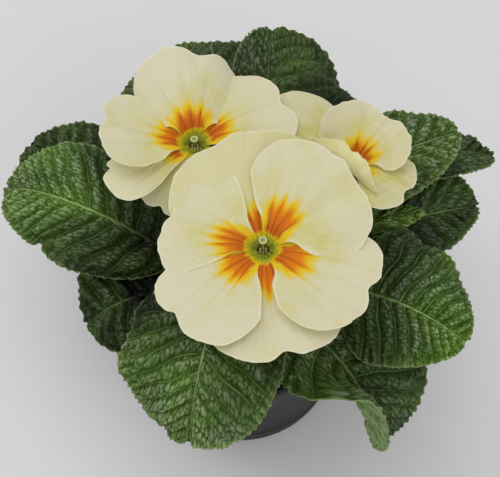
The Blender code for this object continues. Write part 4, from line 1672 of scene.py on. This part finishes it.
        # The tube takes the throat's colours: greener deep down, which is partly painted shade, and more
        # olive near its mouth
        notes = {
            "angle": np.degrees(np.arctan2(y, x)),
            "radius": np.where(height < -1.5, 2.0, 2.6),
            "number": np.full_like(x, 0.5),
            "ray": np.full_like(x, 3.0),
            "under": np.zeros_like(x),
        }
        for name, values in notes.items():
            Piece.note(piece, name, values)
        piece.data.transform(self.matrix())
        return piece

    def path(self) -> tuple:
        """The course of the flower's stalk, from the soil to its calyx.

        Returns:
            Points in millimetres, and unit tangents.
        """
        face = self.axes()[2]
        start = np.array([*self.plan.foot, SOIL_HEIGHT])
        end = np.array(self.plan.mouth) - face * (self.plan.tube + 2)
        distance = np.linalg.norm(end - start)
        rising = start + np.array([0, 0, distance * self.plan.arch])
        corners = start, rising, end - face * distance * (0.8 - self.plan.arch), end
        share = np.linspace(0, 1, self.path_steps)[:, None]
        rest = 1 - share
        weights = rest ** 3, 3 * rest ** 2 * share, 3 * rest * share ** 2, share ** 3
        points = sum(weight * corner for weight, corner in zip(weights, corners))
        slopes = rest ** 2, 2 * rest * share, share ** 2
        tangents = sum(slope * (b - a) for slope, a, b in zip(slopes, corners, corners[1:]))
        return points, tangents / np.linalg.norm(tangents, axis=1, keepdims=True)

    def build_stalk(self, material: bpy.types.Material) -> None:
        """Model the stalk and its five-ridged calyx, and set them in the frame.

        Args:
            material: The stalk's finish.
        """
        first, second, face = self.axes()
        mouth = np.array(self.plan.mouth)
        turn = np.arange(self.sides) / self.sides * math.tau
        ridge = (0.5 + 0.5 * np.cos(5 * turn)) ** 1.6
        bulge = self.scape_radius * (1 + 0.05 * np.cos(5 * turn))
        rings = []
        for point, tangent in zip(*self.path()):
            side = np.cross(second, tangent)
            side /= np.linalg.norm(side)
            other = np.cross(tangent, side)
            rings.append(point + np.outer(bulge * np.cos(turn), side) + np.outer(bulge * np.sin(turn), other))
        # The calyx: radius in a groove and on a ridge, then height in a groove and on a ridge
        floor = -self.plan.tube - 0.3
        inner = self.tube_outer + 0.3
        waist = -0.6 * self.plan.tube
        outline = (
            (3.0, 3.2, floor - 0.6, floor - 0.6), (3.5, 3.9, floor + 1.5, floor + 1.5),
            (3.6, 4.1, waist, waist), (3.5, 4.0, -5.5, -5.5),
            (3.4, 4.1, -5.0, -3.0), (3.4, 4.2, -4.9, -1.2), (3.2, 3.9, -4.9, -1.2),
            (inner, 3.7, -5.1, -2.5), (inner, inner + 0.3, -5.8, -5.8), (inner, inner, floor, floor),
        )
        for low, high, base, peak in outline:
            radius = low + (high - low) * ridge
            height = base + (peak - base) * ridge
            ring = mouth + np.outer(radius * np.cos(turn), first) + np.outer(radius * np.sin(turn), second)
            rings.append(ring + np.outer(height, face))
        stalk = Piece.join([self.skin(rings), self.hairs(rings)], "stalk_" + self.plan.name + "_fine")
        Piece.dress(stalk, material, Slot.STALK, "stalk_" + self.plan.name)

    def skin(self, rings: list) -> bpy.types.Object:
        """Close a mesh over the stalk's rings.

        Args:
            rings: Rings of points, in millimetres.

        Returns:
            The closed mesh.
        """
        count = self.sides
        faces = [tuple(range(count))[::-1]]
        for base in range(0, (len(rings) - 1) * count, count):
            for i in range(count):
                j = (i + 1) % count
                faces.append((base + i, base + j, base + count + j, base + count + i))
        faces.append(tuple(range((len(rings) - 1) * count, len(rings) * count)))
        return Piece.shell("skin", np.vstack(rings), faces)

    def hairs(self, rings: list) -> bpy.types.Object:
        """Grow short downy hairs on the stalk and calyx.

        Args:
            rings: The stalk's rings of points, in millimetres.

        Returns:
            One object with all the hairs.
        """
        chance = np.random.default_rng(self.seed)
        verts, faces = [], []
        for _ in range(self.hair_count):
            level = int(chance.integers(2, len(rings) - 6))
            root = rings[level][int(chance.integers(0, self.sides))]
            out = root - rings[level].mean(0)
            out = out / np.linalg.norm(out) + chance.normal(0, 0.25, 3)
            side = np.cross(out, (0.3, 0.5, 0.8)) * self.hair_width
            other = np.cross(out, side) * 0.8
            tip = root + out * self.hair_length * chance.uniform(0.5, 1.1)
            base = len(verts)
            verts += [root - side, root + side, root + other, tip]
            corners = (0, 2, 1), (0, 1, 3), (1, 2, 3), (2, 0, 3)
            faces += [tuple(base + corner for corner in face) for face in corners]
        return Piece.shell("hairs", np.array(verts), faces)

    def build_stamens(self, material: bpy.types.Material) -> None:
        """Model the ring of anthers in the mouth of the tube, and set it in the frame.

        Args:
            material: The anthers' finish.
        """
        outer = self.tube_inner - 0.25
        inner = self.style_radius + 0.3
        ring = [(inner, -3.5), (inner, -2.9), (outer, -2.9), (outer, -3.5)]
        parts = [Piece.turned("ring", ring, 32, closed=True)]
        shape = Matrix.Diagonal((*self.anther_shape, 1))
        lean = Matrix.Rotation(math.radians(self.anther_lean), 4, "Y")
        distance, height = self.anther_place
        place = Matrix.Translation((distance * MM, 0, height * MM))
        for i in range(self.anthers):
            turn = Matrix.Rotation(math.tau * (i + 0.5) / self.anthers, 4, "Z")
            Piece.clear()
            bpy.ops.mesh.primitive_uv_sphere_add(segments=14, ring_count=9, radius=MM)
            piece = bpy.context.active_object
            piece.data.transform(turn @ place @ lean @ shape)
            parts.append(piece)
        stamens = Piece.join(parts, "stamens_" + self.plan.name + "_fine")
        stamens.data.transform(self.matrix())
        Piece.dress(stamens, material, Slot.ANTHER, "stamens_" + self.plan.name)

    def build_pistil(self, material: bpy.types.Material) -> None:
        """Model the ovary, style and cupped stigma, and set them in the frame.

        Args:
            material: The pistil's finish.
        """
        top, tube = self.plan.style, self.plan.tube
        style, stigma = self.style_radius, self.stigma_radius
        profile = [
            (0, -tube), (1.0, -tube), (1.35, 1.2 - tube), (0.9, 2.1 - tube), (style, 2.9 - tube),
            (style, top - 0.8), (stigma - 0.1, top - 0.45), (stigma + 0.1, top), (stigma, top + 0.4),
            (0.86, top + 0.44), (0.72, top + 0.15), (0.4, top + 0.02), (0, top + 0.04),
        ]
        pistil = Piece.turned("pistil_" + self.plan.name + "_fine", Piece.rounded(profile, 0.2), 36)
        x, y, height = Piece.places(pistil).T
        Piece.note(pistil, "rim", smooth((np.hypot(x, y) - 0.62) / 0.15) * smooth((height - top + 0.5) / 0.4))
        pistil.data.transform(self.matrix())
        Piece.dress(pistil, material, Slot.PISTIL, "pistil_" + self.plan.name)

    def build(
        self, petal: bpy.types.Material, stalk: bpy.types.Material, anther: bpy.types.Material,
        pistil: bpy.types.Material,
    ) -> None:
        """Model the whole flower.

        Args:
            petal: The corolla's finish.
            stalk: The stalk's and calyx's finish.
            anther: The stamens' finish.
            pistil: The pistil's finish.
        """
        self.build_corolla(petal)
        self.build_stalk(stalk)
        self.build_stamens(anther)
        self.build_pistil(pistil)


@dataclass
class Pot:
    """The nursery pot with its rim band, moulded lines and drain holes.

    Attributes:
        rim: Radius of the rim.
        base: Radius of the base.
        height: Height of the rim.
        wall: Thickness of the wall.
        floor: Thickness of the floor.
        band: Height of the rim's band.
        band_depth: How far the band stands out.
        lip: Width of the rounding on the rim.
        lines: Heights at which the moulded lines start.
        line_depth: How far they stand out.
        foot: How far the floor is raised off the ground inside the foot.
        holes: How many drain holes there are.
        hole_radius: Their radius.
        hole_ring: Their distance from the middle.
        hole_turn: Direction of the first.
        steps: Faces round the pot.
    """

    rim: float = 43.0
    base: float = 37.0
    height: float = 86.0
    wall: float = 1.3
    floor: float = 2.0
    band: float = 9.0
    band_depth: float = 1.2
    lip: float = 0.6
    lines: tuple = (12.0, 14.2)
    line_depth: float = 0.28
    foot: float = 0.6
    holes: int = 6
    hole_radius: float = 3.2
    hole_ring: float = 20.0
    hole_turn: float = 3.0
    steps: int = 144

    def wall_radius(self, height: float) -> float:
        """Radius of the outer wall at a height, in millimetres."""
        return self.base + (self.rim - self.band_depth - self.base) * height / self.height

    def build(self, material: bpy.types.Material) -> None:
        """Model the pot and set it in the frame.

        Args:
            material: The pot's finish.
        """
        band = self.height - self.band
        profile = [
            (0, self.foot), (self.base - 5, self.foot), (self.base - 4.4, 0), (self.base - 1, 0),
            (self.base, 1),
        ]
        for low in self.lines:
            profile += [
                (self.wall_radius(low) - 0.02, low),
                (self.wall_radius(low + 0.5) + self.line_depth, low + 0.5),
                (self.wall_radius(low + 1.1) + self.line_depth, low + 1.1),
                (self.wall_radius(low + 1.6), low + 1.6),
            ]
        profile += [
            (self.wall_radius(band), band),
            (self.rim - 0.2, band + 0.4),
            (self.rim, self.height - 1),
            (self.rim - self.lip, self.height),
            (self.rim - self.band_depth - self.lip, self.height),
            (self.wall_radius(self.height) - self.wall, self.height - 1.5),
            (self.wall_radius(self.floor) - self.wall, self.floor),
            (0, self.floor),
        ]
        pot = Piece.turned("pot_fine", Piece.rounded(profile, 0.4), self.steps)
        self.drill(pot)
        Piece.dress(pot, material, Slot.POT, "pot")

    def drill(self, pot: bpy.types.Object) -> None:
        """Cut the drain holes.

        Args:
            pot: The pot.
        """
        for i in range(self.holes):
            angle = math.tau * i / self.holes + math.radians(self.hole_turn)
            place = (self.hole_ring * math.cos(angle) * MM, self.hole_ring * math.sin(angle) * MM, MM)
            radius = self.hole_radius * MM
            Piece.clear()
            bpy.ops.mesh.primitive_cylinder_add(vertices=32, radius=radius, depth=6 * MM, location=place)
            drill = bpy.context.active_object
            Piece.only(pot)
            cut = pot.modifiers.new("Drain", "BOOLEAN")
            cut.operation = "DIFFERENCE"
            cut.object = drill
            bpy.ops.object.modifier_apply(modifier=cut.name)
            bpy.data.objects.remove(drill)


@dataclass
class Soil:
    """Crumbly peat up to just below the pot's rim.

    Attributes:
        top: Height of its surface.
        bottom: Height of its underside.
        radius: Radius of its surface.
        low_radius: Radius of its underside.
        crumb: Width of a crumb.
        grit: Width of the finest crumbs.
        mound: Width of the broad lumps.
        rings: Rings of the mesh on top.
        steps: Faces round it.
        seed: Which table of random numbers it uses.
    """

    top: float = 75.0
    bottom: float = 2.3
    radius: float = 39.6
    low_radius: float = 35.4
    crumb: float = 2.2
    grit: float = 0.9
    mound: float = 6.0
    rings: int = 72
    steps: int = 200
    seed: int = 5

    def build(self, material: bpy.types.Material) -> None:
        """Model the soil and set it in the frame.

        Args:
            material: The soil's finish.
        """
        profile = [(0, self.bottom), (self.low_radius, self.bottom)]
        profile += [(self.radius * ring / self.rings, self.top) for ring in range(self.rings, -1, -1)]
        soil = Piece.turned("soil_fine", profile, self.steps)
        chance = Chance(self.seed)
        place = Piece.places(soil)
        x, y, height = place.T
        upper = (height > self.top - 1) & (np.hypot(x, y) < self.radius - 0.5)
        near, later, mark = chance.cells(x / self.crumb + 30, y / self.crumb + 30, 0.9)
        grit = chance.cells(x / self.grit + 30, y / self.grit + 30, 0.9)[2]
        mound = 0.7 * chance.lumps(x / self.mound, y / self.mound)
        lump = mound + 1.1 * mark * smooth((later - near) * 2) + 0.4 * grit - 0.6
        place[:, 2] += np.where(upper, lump, 0)
        Piece.put(soil, place)
        Piece.dress(soil, material, Slot.SOIL, "soil")


@dataclass
class Studio:
    """The pale floor, the soft light and the camera.

    Attributes:
        elevation: How far the camera stands above the horizon.
        distance: How far it is from its target.
        target: What it looks at.
        focal: Its focal length in pixels of the photograph.
        image_width: The photograph's width in pixels.
        sensor: Width of the sensor.
        floor_size: Side of the floor, in metres.
        lights: Name, place, side, power and colour of each light, in metres and watts.
        lit: What the lights point at, in metres.
        sky: Colour of the light from all round.
        sky_strength: Its strength.
    """

    elevation: float = 67.0
    distance: float = 310.0
    target: tuple = (3.7, -4.0, 121.0)
    focal: float = 1065.0
    image_width: float = 500.0
    sensor: float = 36.0
    floor_size: float = 6.0
    lights: tuple = (
        ("key", (-0.1, 0.1, 1.4), 1.0, 5.6, (1.0, 0.985, 0.96)),
        ("window", (-0.9, 0.75, 0.8), 0.9, 4.6, (1.0, 1.0, 1.0)),
        ("fill", (0.7, -0.9, 0.9), 1.4, 5.0, (1.0, 0.99, 0.98)),
    )
    lit: tuple = (0, 0, 0.1)
    sky: tuple = (1.0, 0.99, 0.98, 1)
    sky_strength: float = 0.49

    def build(self) -> None:
        """Set up the stage."""
        self.floor()
        for light in self.lights:
            self.light(*light)
        self.camera()
        world = bpy.data.worlds.new("studio")
        world.use_nodes = True
        background = world.node_tree.nodes["Background"]
        background.inputs["Color"].default_value = self.sky
        background.inputs["Strength"].default_value = self.sky_strength
        bpy.context.scene.world = world
        bpy.context.scene.view_settings.view_transform = "Standard"

    def floor(self) -> None:
        """A wide pale floor."""
        Piece.clear()
        bpy.ops.mesh.primitive_grid_add(x_subdivisions=8, y_subdivisions=8, size=self.floor_size)
        floor = bpy.context.active_object
        floor.name = "floor"
        shade = Shade("floor")
        stretch = {"Vector": shade.place(), "Scale": (2.0, 60.0, 1.0)}
        grain = shade.noise(1.0, 3.0, shade.node("ShaderNodeMapping", None, stretch).outputs[0])
        shade.set("Base Color", shade.mix(grain * 0.4 + 0.3, (0.70, 0.70, 0.715), (0.74, 0.74, 0.755)))
        shade.set("Roughness", 0.6 + 0.1 * grain)
        floor.data.materials.append(shade.material)

    def light(self, name: str, place: tuple, size: float, power: float, colour: tuple) -> None:
        """A square soft box that points at the plant.

        Args:
            name: The light's name.
            place: In metres.
            size: Side in metres.
            power: In watts.
            colour: Its colour.
        """
        lamp = bpy.data.lights.new(name, "AREA")
        lamp.shape = "SQUARE"
        lamp.size = size
        lamp.energy = power
        lamp.color = colour
        holder = bpy.data.objects.new(name, lamp)
        holder.location = place
        holder.rotation_euler = (Vector(place) - Vector(self.lit)).to_track_quat("Z", "Y").to_euler()
        bpy.context.collection.objects.link(holder)

    def camera(self) -> None:
        """The camera at the photograph's place."""
        up = math.radians(self.elevation)
        back = Vector((0, -math.cos(up), math.sin(up)))
        right = Vector((1, 0, 0))
        place = (Vector(self.target) + back * self.distance) * MM
        lens = bpy.data.cameras.new("camera")
        lens.sensor_width = self.sensor
        lens.lens = self.focal * self.sensor / self.image_width
        lens.clip_start = 0.01
        camera = bpy.data.objects.new("camera", lens)
        turn = Matrix((right, back.cross(right), back)).transposed().to_4x4()
        camera.matrix_world = Matrix.Translation(place) @ turn
        bpy.context.collection.objects.link(camera)
        bpy.context.scene.camera = camera


def corners(box: tuple) -> list:
    """A box's lowest and highest corner as plain lists."""
    return [[float(number) for number in corner] for corner in box]


def main() -> None:
    """Build every piece in order."""
    logging.basicConfig(level=logging.INFO, format="%(message)s")
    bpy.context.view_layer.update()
    Studio().build()
    Pot().build(PLASTIC.make())
    Soil().build(PEAT.make())
    leaf = LeafFinish().make()
    for number, plan in enumerate(LEAVES):
        Leaf(plan, 101 + number).build(leaf)
    finishes = PetalFinish().make(), DOWN.make(), POLLEN.make(), PistilFinish().make()
    for number, plan in enumerate(FLOWERS):
        Flower(plan, 11 + number).build(*finishes)


if __name__ == "__main__":
    main()
